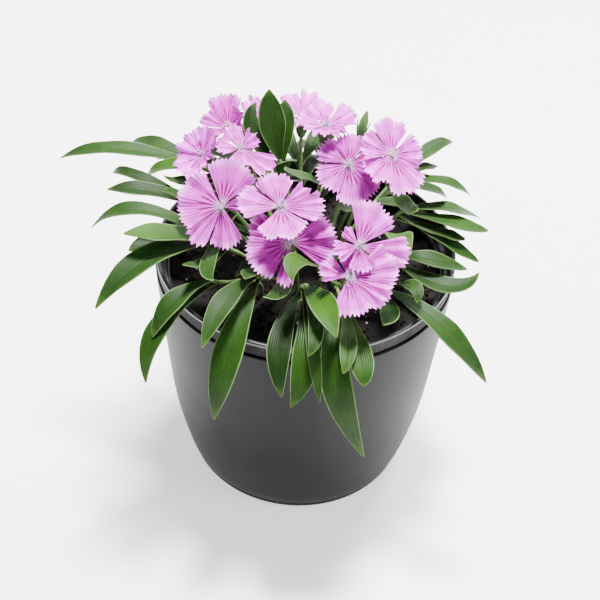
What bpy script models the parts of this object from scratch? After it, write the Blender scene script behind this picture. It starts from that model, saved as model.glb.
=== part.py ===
"""A potted dianthus: leafy stems with toothed pink blooms, in a black grow pot that hangs in a grey planter.

The plant is laid out in millimetres round the planter's axis, with -Y towards the viewer and +Z up,
and turned into metres when each mesh is made. The origin is the middle of the planter's flat base.
"""
import math
import random
from collections import namedtuple
from itertools import product

import bpy
import bmesh
from mathutils import Matrix, Vector
from mathutils.bvhtree import BVHTree

# Driving dimensions in millimetres
PLANTER_HEIGHT = 118.0
PLANTER_TOP_RADIUS = 70.0
PLANTER_BASE_RADIUS = 54.0
PLANTER_WALL = 2.0
PLANTER_FLOOR = 4.0
PLANTER_EDGE = 1.0
# Outside of the planter: share of its height, share of the way from base radius to top radius
PLANTER_BULGE = ((0.12, 0.23), (0.35, 0.58), (0.65, 0.80), (0.85, 0.92))
# Rounded foot of the planter: distance out from the base radius, height
PLANTER_FOOT = ((0.4, 4.0), (-1.2, 1.2), (-4.0, 0.0))
# Inner corner of the planter: how far in from the base radius it starts, its height and what it gives up
CORNER_INSET = 6.0
CORNER_HEIGHT = 4.0
CORNER_EASE = 0.5

SEAT_GAP = 0.3
COLLAR_HEIGHT = 8.0
COLLAR_RADIUS = 68.9
# Lip of the collar: distance out from the collar's radius, height over the pot's top
COLLAR_LIP = ((-1.6, -0.6), (-1.0, 0.0), (0.5, 0.0), (0.9, -0.5), (0.9, -1.1))
COLLAR_RIB = 0.5
COLLAR_RIBS = 4
COLLAR_FLARE = 0.3
COLLAR_FOOT = 0.2
RIBS_BELOW_TOP = 1.3
RIBS_ABOVE_SEAT = 0.9
# Inside of the collar: distance in from its radius, height under the seat
COLLAR_SHOULDER = (2.2, 1.0)
POT_SHOULDER_DROP = 4.0
POT_WALL = 1.3
POT_TOP_RADIUS = 64.6
POT_BASE_RADIUS = 46.0
POT_BASE_LEVEL = 12.0
POT_BASE_ROUNDING = 1.5
POT_FLOOR = 2.0
POT_INNER_ROUNDING = 1.0
DRAIN_HOLES = 6
DRAIN_RADIUS = 4.0
DRAIN_CIRCLE = 30.0

SOIL_LEVEL = 112.0
SOIL_CROWN = 3.0
SOIL_LUMPS = 1.1
SOIL_SEED = 11
SOIL_RINGS = (0.3, 0.55, 0.8)
SOIL_SIDE_GAP = 1.2
SOIL_BASE_GAP = 1.4
HOLE_DEPTH = 12.0
HOLE_RADIUS = 1.8
HOLE_CUT = 40.0
CUTTER_SIDES = 6
ROUND_STEPS = 28
SOIL_STEPS = 20

STEM_RADIUS = 1.15
STEM_SIDES = 5
STEM_STEPS = 4
STEM_RISE = 14.0
BLOOM_LEAD = 14.0
SHOOT_LEAD = 12.0
SHOOT_LEAN = 0.6
CALYX_LENGTH = 13.0
CALYX_RADIUS = 2.1
THROAT_DEPTH = 0.5
THROAT_RADIUS = 1.6
BLADE_THICKNESS = 0.7
BLADE_RING = 6
LEAF_STEP = 11.0
LEAF_STEPS = (3, 6)
LEAF_ROOT = 0.8
LEAF_ROOT_THICKENING = 0.4
LEAF_POINT = 0.07
# Leaves that rise within this distance are laid flat to the ground plan's middle instead
LEAF_UPRIGHT = 8.0
# Fold of a leaf at its root, and how much of it is lost towards its tip
LEAF_FOLD = (0.26, 0.13)
PETAL_THICKNESS = 0.65
PETAL_LIFT = 1.4
PETAL_WAVE = 0.9
PETAL_RISE = 1.4
PETAL_ROUNDING = 0.12
# Share of a petal's spread that it has at the throat
PETAL_NARROWING = 0.85
# Middle row of a petal: share of its length, number of points
PETAL_MIDDLE = (0.62, 4)
# Spread in degrees by length in millimetres that one tooth takes up
TOOTH_SPACING = 110.0
TOOTH_DEPTH = 1.6
CLEARANCE = 0.45

# Room the leaves leave round the pots: inside and outside of the collar, above it, beside the planter and
# over its edge, and over the soil
COLLAR_ROOM = (3.5, 2.2)
RIM_ROOM = 1.2
PLANTER_ROOM = (1.5, 1.0)
SOIL_ROOM = 1.5

# What ends a stem: its length, then shares of that length with the radius there as a share of the calyx's
STEM_ENDS = {
    "bloom": (CALYX_LENGTH - THROAT_DEPTH - SEAT_GAP, ((0.25, 0.9), (0.7, 1.0), (1.0, 0.9))),
    "bud": (CALYX_LENGTH, ((0.25, 0.9), (0.6, 1.0), (0.85, 0.7), (1.0, 0.25))),
    "shoot": (5.0, ((0.5, 0.45), (1.0, 0.2))),
}

MM = 0.001
POT_TOP = PLANTER_HEIGHT + SEAT_GAP + COLLAR_HEIGHT
UP = Vector((0, 0, 1))

# What is tried when a bloom meets another: slide along its facing, turn in degrees, sway of its stem
FLOWER_TRIES = sorted(
    product((0, 1.5, -1.5, 3, -3, 4.5, -4.5, 6), (0, 6, -6, 12, -12),
            ((0, 0), (5, 0), (-5, 0), (0, 5), (0, -5), (8, 0), (-8, 0))),
    key=lambda t: abs(t[0]) + abs(t[1]) / 4 + (abs(t[2][0]) + abs(t[2][1])) / 5)
# What is tried when a leaf meets something: more arch, more bend, twist in degrees, share of its width
LEAF_TRIES = sorted(
    product((0, 3, -3, 6, -6, 9, 12, 16), (0, 3, -3, 6, -6, 10, -10), (0, 15, -15, 30, -30),
            (1.0, 0.85, 0.7)),
    key=lambda t: abs(t[0]) / 3 + abs(t[1]) / 3 + abs(t[2]) / 15 + (1 - t[3]) * 15)

# A leaf: share of its stem where it grows, place of its tip and its width, then its bend: height of
# the arch, sideways bend, and share of its run at which it turns
Leaf = namedtuple("Leaf", "at tip width arch bend knee", defaults=[0, 0.5])
# A leaf's course once it has found its place
Course = namedtuple("Course", "base tip width arch bend knee twist")
# A petal: heading in degrees round the bloom's facing, length, half its spread in degrees, lift of its end
Petal = namedtuple("Petal", "heading length spread lift", defaults=[0])
# A bloom: middle of its throat, way it faces, cup of its petals, its petals in order of heading, turn
Bloom = namedtuple("Bloom", "centre facing cup petals turn", defaults=[0])
# A stem: where it leaves the soil, where it ends if it has no bloom, the name of its bloom, its leaves
Stem = namedtuple("Stem", "root end bloom leaves")

BLOOMS = {
    "front_left": Bloom((-37, -27, 168), (-0.15, -0.75, 0.62), 1.0, [
        Petal(2, 13, 19, -1), Petal(71, 21, 32), Petal(165, 20, 45), Petal(231, 21, 13, 1),
        Petal(277, 19, 23, -1)]),
    "front_middle": Bloom((-12, -29, 170), (0.02, -0.35, 0.94), 1.5, [
        Petal(37, 16, 16, -2), Petal(106, 16, 33, 1), Petal(176, 19, 30), Petal(279, 17.5, 42),
        Petal(357, 19.5, 20, 1)]),
    "front_low": Bloom((-7, -38, 159), (0.0, -0.80, 0.60), 2.0, [
        Petal(5, 20.5, 37), Petal(92, 9, 26, -1), Petal(153, 20, 13, -2), Petal(207, 20, 35),
        Petal(266, 19.5, 9, 2)]),
    "front_right": Bloom((18, -55, 156), (0.05, -0.55, 0.83), 1.0, [
        Petal(19, 22, 27), Petal(83, 12.5, 32, -1), Petal(163, 13, 31), Petal(282, 18, 31),
        Petal(334, 20, 19)]),
    "right_low": Bloom((21, -44, 163), (0.25, -0.60, 0.76), 1.0, [
        Petal(0, 23, 18), Petal(73, 21, 32), Petal(139, 10, 20, -1), Petal(204, 12, 26),
        Petal(285, 12, 30)]),
    "middle": Bloom((17, 4, 171), (-0.12, -0.62, 0.78), 1.0, [
        Petal(5, 14, 32), Petal(88, 14.5, 33), Petal(145, 16, 24), Petal(214, 16, 35),
        Petal(289, 19.5, 35)]),
    "right": Bloom((35, -1, 181), (0.25, -0.50, 0.82), 1.5, [
        Petal(17, 14.5, 37), Petal(101, 17, 32), Petal(170, 15.5, 32), Petal(240, 16.5, 30),
        Petal(303, 20, 27)]),
    "rear_middle": Bloom((6, 19, 178), (0.0, -0.10, 0.99), 2.5, [
        Petal(35, 15.5, 24), Petal(108, 14.5, 31), Petal(183, 14, 34), Petal(257, 11, 33),
        Petal(322, 11, 26)]),
    "rear_high": Bloom((-5, 38, 173), (0.0, -0.10, 0.99), 3.0, [
        Petal(60, 14, 33), Petal(122, 14, 26), Petal(178, 10, 27), Petal(246, 11, 34),
        Petal(327, 11, 35)]),
    "rear_left": Bloom((-39, 32, 168), (-0.35, -0.30, 0.88), 5.0, [
        Petal(15, 10, 34), Petal(92, 17, 29), Petal(150, 13, 25), Petal(213, 11, 30),
        Petal(283, 13, 32)]),
    "left": Bloom((-49, 11, 167), (-0.60, -0.40, 0.70), 4.0, [
        Petal(35, 13, 35), Petal(116, 13, 35), Petal(190, 13.5, 34), Petal(255, 14, 28),
        Petal(318, 11, 28)]),
    "left_middle": Bloom((-32, 6, 175), (0.05, -0.20, 0.97), 2.0, [
        Petal(35, 10, 30, 1), Petal(108, 12.5, 33, 1), Petal(190, 11, 36), Petal(271, 13.5, 27),
        Petal(324, 20, 17, -1)]),
    "rear_small": Bloom((-26, 34, 176), (0.05, -0.10, 0.98), 3.0, [
        Petal(20, 8, 36), Petal(92, 8, 36), Petal(164, 8, 36), Petal(236, 8, 36), Petal(308, 8, 36)]),
}

STEMS = [
    Stem((-6, 4), (-14, 12, 166), None, [
        Leaf(0.92, (-20, 24, 195), 14, 4, -4), Leaf(0.84, (-26, 28, 185), 10, 4, -16, 0.65),
        Leaf(0.88, (-13, 30, 186), 10, 6, 0, 0.55), Leaf(0.72, (-6, -2, 176), 7, 10, 8, 0.40)]),
    Stem((-15, -10), None, "front_left", [
        Leaf(0.80, (-38, -56, 151), 7, -6, 14, 0.85), Leaf(0.50, (-58, -8, 141), 9, 8)]),
    Stem((-6, -12), None, "front_middle", [
        Leaf(0.50, (-30, -40, 140), 8, 6)]),
    Stem((-3, -19), None, "front_low", [
        Leaf(0.60, (-17, -60, 147), 8, -8, -8, 0.85)]),
    Stem((7, -16), None, "front_right", [
        Leaf(0.80, (-5, -66, 162), 11, 16, 10, 0.70)]),
    Stem((13, -12), None, "right_low", [
        Leaf(0.55, (44, -30, 146), 9, 8)]),
    Stem((6, -4), None, "middle", [
        Leaf(0.72, (-10, -12, 177), 11, 0, 4, 0.80), Leaf(0.66, (26, -18, 164), 7, -6, 8, 0.55)]),
    Stem((14, 1), None, "right", [
        Leaf(0.80, (64, 18, 145), 9, 10, 8, 0.85), Leaf(0.90, (48, -8, 156), 9, -8, -2, 0.85),
        Leaf(0.50, (58, 6, 140), 9, 8)]),
    Stem((2, 7), None, "rear_middle", [
        Leaf(0.72, (26, 24, 170), 9, 6), Leaf(0.50, (28, 46, 142), 10, 10)]),
    Stem((-3, 13), None, "rear_high", [
        Leaf(0.70, (10, 66, 150), 10, 8), Leaf(0.66, (-20, 62, 152), 10, 8),
        Leaf(0.50, (2, 62, 134), 10, 10)]),
    Stem((-13, 9), None, "rear_left", [
        Leaf(0.68, (-62, 46, 148), 10, 8), Leaf(0.74, (-34, 60, 150), 9, 7),
        Leaf(0.50, (-48, 54, 134), 10, 10)]),
    Stem((-17, 2), None, "left", [
        Leaf(0.90, (-66, 6, 158), 7, -6, -4, 0.80), Leaf(0.97, (-75, 18, 149), 10, 12, -6, 0.85)]),
    Stem((-10, -2), None, "left_middle", [
        Leaf(0.66, (-46, -10, 176), 7, 6), Leaf(0.74, (-14, -14, 169), 8, 5),
        Leaf(0.50, (-50, 16, 146), 8, 8)]),
    Stem((-9, 16), None, "rear_small", [
        Leaf(0.72, (-24, 60, 160), 8, 6), Leaf(0.50, (-16, 58, 138), 9, 8)]),
    Stem((10, 7), (22, 32, 166), "bud", [
        Leaf(0.80, (36, 36, 166), 8, 5), Leaf(0.66, (20, 58, 150), 9, 7),
        Leaf(0.50, (46, 42, 140), 9, 8)]),
    Stem((-22, -2), (-47, 2, 147), None, [
        Leaf(0.92, (-91, 0, 153), 11, 10, -4, 0.65), Leaf(0.97, (-65, -8, 160), 7, 2, 0, 0.65),
        Leaf(0.84, (-91, 19, 149), 8, 22, -8, 0.85)]),
    Stem((-20, 9), (-42, 26, 150), None, [
        Leaf(0.92, (-117, 26, 150), 11, 18, -8, 0.70), Leaf(0.84, (-86, 42, 149), 10, 12, -2, 0.85),
        Leaf(0.76, (-76, 54, 132), 11, 13)]),
    Stem((-21, -11), (-41, -26, 149), None, [
        Leaf(0.90, (-95, -22, 148), 10, 24, 4, 0.70), Leaf(0.95, (-78, -38, 159), 13, 8, -2, 0.55),
        Leaf(0.84, (-88, -61, 136), 15, 18, 8, 0.55), Leaf(0.72, (-52, -48, 152), 7, 0, -2, 0.55),
        Leaf(0.80, (-77, -34, 146), 12, 10, 4, 0.80)]),
    Stem((-19, -21), (-41, -40, 138), None, [
        Leaf(0.84, (-66, -75, 107), 11, 18, 12, 0.80), Leaf(0.94, (-64, -63, 123), 11, 12, 4, 0.65)]),
    Stem((-11, -21), (-21, -42, 143), None, [
        Leaf(0.92, (-41, -79, 134), 11, 12, 4), Leaf(0.86, (-36, -85, 97), 14, 34, -2, 0.85),
        Leaf(0.70, (-25, -54, 151), 8, 8, 6, 0.55)]),
    Stem((1, -23), (-1, -44, 140), None, [
        Leaf(0.70, (-7, -85, 113), 11, 24, 8, 0.85), Leaf(0.82, (-3, -87, 109), 13, 24, -4, 0.85),
        Leaf(0.94, (9, -87, 113), 6, 18, 2, 0.85), Leaf(0.90, (3, -82, 135), 7, -2, -8, 0.80),
        Leaf(0.96, (14, -82, 147), 12, 10, -2)]),
    Stem((14, -21), (18, -48, 135), None, [
        Leaf(0.84, (30, -87, 80), 14, 48, 24, 0.85), Leaf(0.90, (18, -83, 127), 8, 2, -4, 0.75),
        Leaf(0.96, (27, -84, 121), 11, 8, -2, 0.85)]),
    Stem((24, -13), (37, -34, 134), None, [
        Leaf(0.86, (82, -63, 106), 13, 22, 6, 0.65), Leaf(0.95, (49, -48, 137), 8, 8, -8, 0.65),
        Leaf(0.72, (34, -64, 138), 9, -4, -8, 0.65)]),
    Stem((23, -4), (41, -14, 138), None, [
        Leaf(0.80, (78, -22, 134), 12, -6, 20, 0.85), Leaf(0.90, (74, -13, 128), 11, 10, 10),
        Leaf(0.97, (44, -42, 158), 13, 22, 6, 0.35)]),
    Stem((22, 3), (45, 6, 148), None, [
        Leaf(0.84, (80, -6, 127), 8, 4, 4, 0.80), Leaf(0.90, (84, 6, 136), 10, 6, 2, 0.70),
        Leaf(0.96, (81, 16, 135), 11, 10, 2, 0.60), Leaf(0.78, (73, -1, 136), 7, 0, 2, 0.85)]),
    Stem((18, 11), (41, 22, 154), None, [
        Leaf(0.90, (76, 26, 141), 8, 10, 0, 0.75), Leaf(0.96, (60, 34, 151), 6, 6, 4, 0.60),
        Leaf(0.86, (67, 46, 157), 9, 12, 2, 0.70), Leaf(0.66, (66, 58, 124), 11, 15)]),
    Stem((4, 21), (7, 44, 145), None, [
        Leaf(0.80, (-9, 84, 116), 11, 20), Leaf(0.90, (14, 86, 108), 12, 24),
        Leaf(0.96, (8, 82, 142), 10, 9)]),
    Stem((-15, 20), (-32, 42, 145), None, [
        Leaf(0.80, (-46, 80, 108), 12, 22), Leaf(0.90, (-64, 66, 120), 11, 17),
        Leaf(0.96, (-28, 80, 134), 10, 12)]),
    Stem((15, 20), (32, 42, 145), None, [
        Leaf(0.80, (50, 77, 106), 12, 22), Leaf(0.92, (34, 80, 132), 10, 12),
        Leaf(0.96, (62, 60, 140), 10, 9)]),
]


def clear_scene():
    """Remove whatever the file holds."""
    for obj in list(bpy.data.objects):
        bpy.data.objects.remove(obj, do_unlink=True)


def collection(name):
    """Make a collection of the scene."""
    group = bpy.data.collections.new(name)
    bpy.context.scene.collection.children.link(group)
    return group


def material(name, colour, roughness):
    """Make a plain Principled material."""
    mat = bpy.data.materials.new(name)
    mat.use_nodes = True
    shader = mat.node_tree.nodes["Principled BSDF"]
    shader.inputs["Base Color"].default_value = (*colour, 1.0)
    shader.inputs["Roughness"].default_value = roughness
    shader.inputs["Metallic"].default_value = 0.0
    mat.diffuse_color = (*colour, 1.0)
    return mat


def mesh_object(name, points, faces, group, mat=None):
    """Make an object from points in millimetres and faces."""
    mesh = bpy.data.meshes.new(name)
    mesh.from_pydata([Vector(p) * MM for p in points], [], faces)
    shape = bmesh.new()
    shape.from_mesh(mesh)
    bmesh.ops.recalc_face_normals(shape, faces=shape.faces)
    shape.to_mesh(mesh)
    shape.free()
    obj = bpy.data.objects.new(name, mesh)
    group.objects.link(obj)
    if mat:
        mesh.materials.append(mat)
    return obj


def turned(name, profile, steps, group, mat=None):
    """Turn a profile of (radius, height) round Z, running up the inside and down the outside."""
    mesh = bpy.data.meshes.new(name)
    points = [Vector((radius, 0, height)) * MM for radius, height in profile]
    mesh.from_pydata(points, [(i, i + 1) for i in range(len(points) - 1)], [])
    obj = bpy.data.objects.new(name, mesh)
    group.objects.link(obj)
    if mat:
        mesh.materials.append(mat)
    screw = obj.modifiers.new("Screw", "SCREW")
    screw.steps = steps
    screw.render_steps = steps
    screw.use_merge_vertices = True
    screw.merge_threshold = 0.00005
    screw.use_smooth_shade = True
    return obj


def applied(obj):
    """Replace an object's mesh by what its modifiers make of it."""
    graph = bpy.context.evaluated_depsgraph_get()
    mesh = bpy.data.meshes.new_from_object(obj.evaluated_get(graph))
    obj.modifiers.clear()
    obj.data = mesh
    return obj


def boolean(obj, group, operation, solver):
    """Cut or join an object with every object of a collection, then drop the collection."""
    step = obj.modifiers.new("Boolean", "BOOLEAN")
    step.operand_type = "COLLECTION"
    step.collection = group
    step.operation = operation
    step.solver = solver
    applied(obj)
    for tool in list(group.objects):
        bpy.data.objects.remove(tool, do_unlink=True)
    bpy.data.collections.remove(group)
    return obj


def planter_outside(height):
    """Radius of the planter's outside at a height, read along straight stretches of its side."""
    side = [(0.0, 0.0), *PLANTER_BULGE, (1.0, 1.0)]
    share = min(max(height / PLANTER_HEIGHT, 0.0), 1.0)
    for (low, near), (high, far) in zip(side, side[1:]):
        if share <= high:
            way = near + (far - near) * (share - low) / (high - low)
            return PLANTER_BASE_RADIUS + (PLANTER_TOP_RADIUS - PLANTER_BASE_RADIUS) * way
    return PLANTER_TOP_RADIUS


def make_planter(group):
    """The grey outer planter, with a rounded foot and a flat base."""
    heights = [share * PLANTER_HEIGHT for share, _ in PLANTER_BULGE]
    inner = PLANTER_TOP_RADIUS - PLANTER_WALL
    corner = planter_outside(2 * CORNER_HEIGHT) - PLANTER_WALL - CORNER_EASE
    profile = [(0, PLANTER_FLOOR), (PLANTER_BASE_RADIUS - CORNER_INSET, PLANTER_FLOOR)]
    profile += [(corner, PLANTER_FLOOR + CORNER_HEIGHT)]
    profile += [(planter_outside(height) - PLANTER_WALL, height) for height in heights]
    profile += [(inner, PLANTER_HEIGHT - PLANTER_EDGE / 2), (inner + PLANTER_EDGE / 2, PLANTER_HEIGHT)]
    profile += [(PLANTER_TOP_RADIUS - PLANTER_EDGE / 2, PLANTER_HEIGHT)]
    profile += [(PLANTER_TOP_RADIUS, PLANTER_HEIGHT - PLANTER_EDGE)]
    profile += [(planter_outside(height), height) for height in reversed(heights)]
    profile += [(PLANTER_BASE_RADIUS + out, height) for out, height in PLANTER_FOOT]
    profile += [(0, 0)]
    grey = material("planter_grey", (0.055, 0.055, 0.06), 0.55)
    return turned("planter", profile, ROUND_STEPS, group, grey)


def make_grow_pot(group):
    """The black grow pot: a tapering cup whose ribbed collar rests on the planter's edge."""
    seat = PLANTER_HEIGHT + SEAT_GAP
    floor = POT_BASE_LEVEL + POT_FLOOR
    inset, drop = COLLAR_SHOULDER
    profile = [(0, floor), (POT_BASE_RADIUS - POT_WALL - POT_INNER_ROUNDING, floor)]
    profile += [(POT_TOP_RADIUS - POT_WALL, seat - POT_SHOULDER_DROP), (COLLAR_RADIUS - inset, seat - drop)]
    profile += [(COLLAR_RADIUS + out, POT_TOP + rise) for out, rise in COLLAR_LIP]
    pitch = (COLLAR_HEIGHT - RIBS_BELOW_TOP - RIBS_ABOVE_SEAT) / COLLAR_RIBS
    for rib in range(COLLAR_RIBS):
        level = POT_TOP - RIBS_BELOW_TOP - rib * pitch
        flare = COLLAR_RADIUS + COLLAR_FLARE * (1 - rib / COLLAR_RIBS)
        profile += [(flare - COLLAR_RIB / 2, level), (flare + COLLAR_RIB / 2, level - pitch / 2)]
    profile += [(COLLAR_RADIUS - COLLAR_FOOT, seat), (POT_TOP_RADIUS, seat)]
    profile += [(POT_BASE_RADIUS, POT_BASE_LEVEL + POT_BASE_ROUNDING)]
    profile += [(POT_BASE_RADIUS - POT_BASE_ROUNDING, POT_BASE_LEVEL), (0, POT_BASE_LEVEL)]
    black = material("grow_pot_black", (0.012, 0.012, 0.013), 0.3)
    pot = turned("grow_pot", profile, ROUND_STEPS, group, black)
    cutters = collection("drain_cutters")
    for index in range(DRAIN_HOLES):
        angle = 2 * math.pi * index / DRAIN_HOLES
        place = Vector((DRAIN_CIRCLE * math.cos(angle), DRAIN_CIRCLE * math.sin(angle), POT_BASE_LEVEL))
        cutters.objects.link(hole_cutter("drain", place, DRAIN_RADIUS, 4 * POT_FLOOR))
    return boolean(pot, cutters, "DIFFERENCE", "MANIFOLD")


def hole_cutter(name, middle, radius, depth):
    """An upright cutter with flat sides round a point, in millimetres."""
    tool = bmesh.new()
    bmesh.ops.create_cone(tool, cap_ends=True, segments=CUTTER_SIDES, radius1=radius * MM,
                          radius2=radius * MM, depth=depth * MM, matrix=Matrix.Translation(middle * MM))
    mesh = bpy.data.meshes.new(name)
    tool.to_mesh(mesh)
    tool.free()
    obj = bpy.data.objects.new(name, mesh)
    obj.hide_render = True
    obj.display_type = "WIRE"
    return obj


def make_soil(group):
    """The root ball: it fills the grow pot, with a lumpy top and a plain hole for each stem."""
    floor = POT_BASE_LEVEL + POT_FLOOR + SEAT_GAP
    side = POT_TOP_RADIUS - POT_WALL - SEAT_GAP - SOIL_SIDE_GAP
    profile = [(0, SOIL_LEVEL + SOIL_CROWN)]
    profile += [(side * share, SOIL_LEVEL + SOIL_CROWN * (1 - share)) for share in SOIL_RINGS]
    profile += [(side, SOIL_LEVEL), (POT_BASE_RADIUS - POT_WALL - SEAT_GAP - SOIL_BASE_GAP, floor)]
    profile += [(0, floor)]
    dark = material("soil_dark", (0.02, 0.014, 0.01), 0.95)
    soil = applied(turned("soil", profile, SOIL_STEPS, group, dark))
    draw = random.Random(SOIL_SEED)
    for vertex in soil.data.vertices:
        if vertex.co.z > (SOIL_LEVEL + 0.1) * MM:
            vertex.co.z += draw.uniform(-SOIL_LUMPS, SOIL_LUMPS) * MM
    cutters = collection("stem_hole_cutters")
    for stem in STEMS:
        middle = Vector((*stem.root, SOIL_LEVEL - HOLE_DEPTH + HOLE_CUT / 2))
        cutters.objects.link(hole_cutter("stem_hole", middle, HOLE_RADIUS, HOLE_CUT))
    return boolean(soil, cutters, "DIFFERENCE", "MANIFOLD")


def bezier(points, share):
    """A point on a Bezier curve of any degree."""
    row = list(points)
    while len(row) > 1:
        row = [a.lerp(b, share) for a, b in zip(row, row[1:])]
    return row[0]


def stem_curve(stem, bloom, sway=(0, 0)):
    """Control points of a stem: straight up out of the soil, then over to its bloom or its end."""
    start = Vector((*stem.root, SOIL_LEVEL + SOIL_CROWN))
    if bloom:
        facing = Vector(bloom.facing).normalized()
        end = Vector(bloom.centre) - facing * CALYX_LENGTH
        lead = end - facing * BLOOM_LEAD
    else:
        end = Vector(stem.end)
        outward = Vector((end.x, end.y, 0)) - Vector((*stem.root, 0))
        lead = end - (outward.normalized() * SHOOT_LEAN + UP).normalized() * SHOOT_LEAD
    return [start, start + UP * STEM_RISE, lead + Vector((*sway, 0)), end]


def loft(rings):
    """Close a row of equal rings of points into one solid, split into triangles."""
    size = len(rings[0])
    points = [point for ring in rings for point in ring]
    faces = []
    for row in range(len(rings) - 1):
        for i in range(size):
            j = (i + 1) % size
            a, b = row * size + i, row * size + j
            c, d = b + size, a + size
            faces += [(a, b, c), (a, c, d)]
    last = (len(rings) - 1) * size
    faces += [(0, i + 1, i) for i in range(1, size - 1)]
    faces += [(last, last + i, last + i + 1) for i in range(1, size - 1)]
    return points, faces


def tube(path, radii, sides):
    """A tube along a path, with its own radius at each point."""
    rings = []
    for index, middle in enumerate(path):
        ahead = path[min(index + 1, len(path) - 1)] - path[max(index - 1, 0)]
        across = ahead.cross(Vector((0.3, 1, 0.1))).normalized()
        other = ahead.cross(across).normalized()
        ring = []
        for side in range(sides):
            angle = 2 * math.pi * side / sides
            ring.append(middle + (across * math.cos(angle) + other * math.sin(angle)) * radii[index])
        rings.append(ring)
    return loft(rings)


def leaf_section(course, share):
    """Middle, way across, face normal and half width of a leaf at a share of its course."""
    run = course.tip - course.base
    level = Vector((run.x, run.y, 0))
    if level.length < LEAF_UPRIGHT:
        level += Vector((course.base.x, course.base.y, 0))
    side = level.cross(UP).normalized()
    knee = course.base + run * course.knee + UP * course.arch + side * course.bend
    middle = bezier([course.base, knee, course.tip], share)
    ahead = ((knee - course.base) * (1 - share) + (course.tip - knee) * share).normalized()
    across = (side - ahead * side.dot(ahead)).normalized()
    normal = across.cross(ahead).normalized()
    roll = math.radians(course.twist) * share
    rolled = across * math.cos(roll) + normal * math.sin(roll)
    normal = normal * math.cos(roll) - across * math.sin(roll)
    half = course.width / 2 * max(math.sin(math.pi * share ** 1.3) ** 0.75, LEAF_POINT)
    return middle, rolled, normal, max(half, LEAF_ROOT)


def blade(course, grow=0.0):
    """A lance-shaped leaf folded along its midrib: its root is sunk in the stem, its edges are lifted.

    grow fattens it for the clearance test.
    """
    fewest, most = LEAF_STEPS
    steps = min(max(round((course.tip - course.base).length / LEAF_STEP), fewest), most)
    fold, unfold = LEAF_FOLD
    rings = []
    for step in range(steps + 1):
        share = step / steps
        middle, across, normal, half = leaf_section(course, share)
        half += grow
        lift = normal * half * (fold - unfold * share)
        thick = normal * (BLADE_THICKNESS / 2 + grow + LEAF_ROOT_THICKENING * (1 - share) ** 3)
        left = middle - across * half + lift
        right = middle + across * half + lift
        rings.append([left + thick, middle + thick, right + thick,
                      right - thick, middle - thick, left - thick])
    return mirrored_loft(rings)


def mirrored_loft(rings):
    """Loft six-point blade sections, with the same diagonals on the upper and the lower face."""
    points = [point for ring in rings for point in ring]
    faces = []
    for row in range(len(rings) - 1):
        now = row * BLADE_RING
        new = now + BLADE_RING
        for a, b in ((0, 1), (1, 2)):
            c, d = 5 - a, 5 - b
            faces += [(now + a, now + b, new + b), (now + a, new + b, new + a)]
            faces += [(now + d, now + c, new + d), (now + c, new + c, new + d)]
        faces += [(now + 2, now + 3, new + 3), (now + 2, new + 3, new + 2)]
        faces += [(now + 5, now, new), (now + 5, new, new + 5)]
    last = (len(rings) - 1) * BLADE_RING
    cap = ((0, 5, 4), (0, 4, 1), (1, 4, 3), (1, 3, 2))
    faces += list(cap)
    faces += [tuple(last + i for i in reversed(face)) for face in cap]
    return points, faces


def stitch(near, far):
    """Fill the strip between two rows of points that run the same way, whatever their counts."""
    faces = []
    i = j = 0
    while i < len(near) - 1 or j < len(far) - 1:
        inner = (i + 1) / (len(near) - 1)
        outer = (j + 1) / (len(far) - 1)
        if j == len(far) - 1 or (i < len(near) - 1 and inner <= outer):
            faces.append((near[i], far[j], near[i + 1]))
            i += 1
        else:
            faces.append((near[i], far[j], far[j + 1]))
            j += 1
    return faces


def petal_point(bloom, index, across, share):
    """A point of a petal's middle face and the normal there.

    across runs from -1 to 1 over the petal, share from its throat to its edge. Its left side is lifted
    over its neighbour, so the petals of a bloom overlap like a pinwheel.
    """
    petal = bloom.petals[index]
    narrowing = PETAL_NARROWING + (1 - PETAL_NARROWING) * share
    angle = math.radians(bloom.turn + petal.heading + petal.spread * across * narrowing)
    reach = petal.length * share * (1 - PETAL_ROUNDING * across ** 2 * share)
    cup = bloom.cup + petal.lift
    height = cup * share ** PETAL_RISE + PETAL_LIFT * across * share
    height += PETAL_WAVE * math.sin(3 * math.pi * across + index) * share ** 2
    slope = PETAL_RISE * cup * share ** (PETAL_RISE - 1) / petal.length
    outward = Vector((math.cos(angle), math.sin(angle), 0))
    return outward * reach + UP * height, (UP - outward * slope).normalized()


def petal_rows(bloom, index):
    """Rows of points and normals of one fan-shaped petal, from the throat to its toothed edge."""
    petal = bloom.petals[index]
    teeth = max(2, round(petal.spread * petal.length / TOOTH_SPACING))
    notch = 1 - TOOTH_DEPTH / petal.length
    rows = []
    for share, count in ((THROAT_RADIUS / petal.length, 2), PETAL_MIDDLE, (1.0, 2 * teeth + 1)):
        row = []
        for column in range(count):
            across = 2 * column / (count - 1) - 1
            notched = share == 1.0 and column % 2 == 0
            row.append(petal_point(bloom, index, across, notch if notched else share))
        rows.append(row)
    return rows


def bloom_solid(bloom):
    """The petals of a bloom, grown together round the flat middle of its throat, as one closed solid."""
    top, under, faces, border, throat = [], [], [], [], []
    for index in range(len(bloom.petals)):
        lines = []
        for row in petal_rows(bloom, index):
            lines.append(list(range(len(top), len(top) + len(row))))
            top += [point + normal * PETAL_THICKNESS / 2 for point, normal in row]
            under += [point - normal * PETAL_THICKNESS / 2 for point, normal in row]
        for near, far in zip(lines, lines[1:]):
            faces += stitch(near, far)
        throat += lines[0]
        border += [line[0] for line in lines[:-1]] + lines[-1] + [line[-1] for line in lines[-2::-1]]
    faces += [(throat[0], throat[i], throat[i + 1]) for i in range(1, len(throat) - 1)]
    size = len(top)
    faces += [(a + size, c + size, b + size) for a, b, c in faces]
    for a, b in zip(border, border[1:] + border[:1]):
        faces += [(a, a + size, b), (b, a + size, b + size)]
    turn = turned_to(bloom.facing)
    middle = Vector(bloom.centre)
    return [middle + turn @ point for point in top + under], faces


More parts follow.
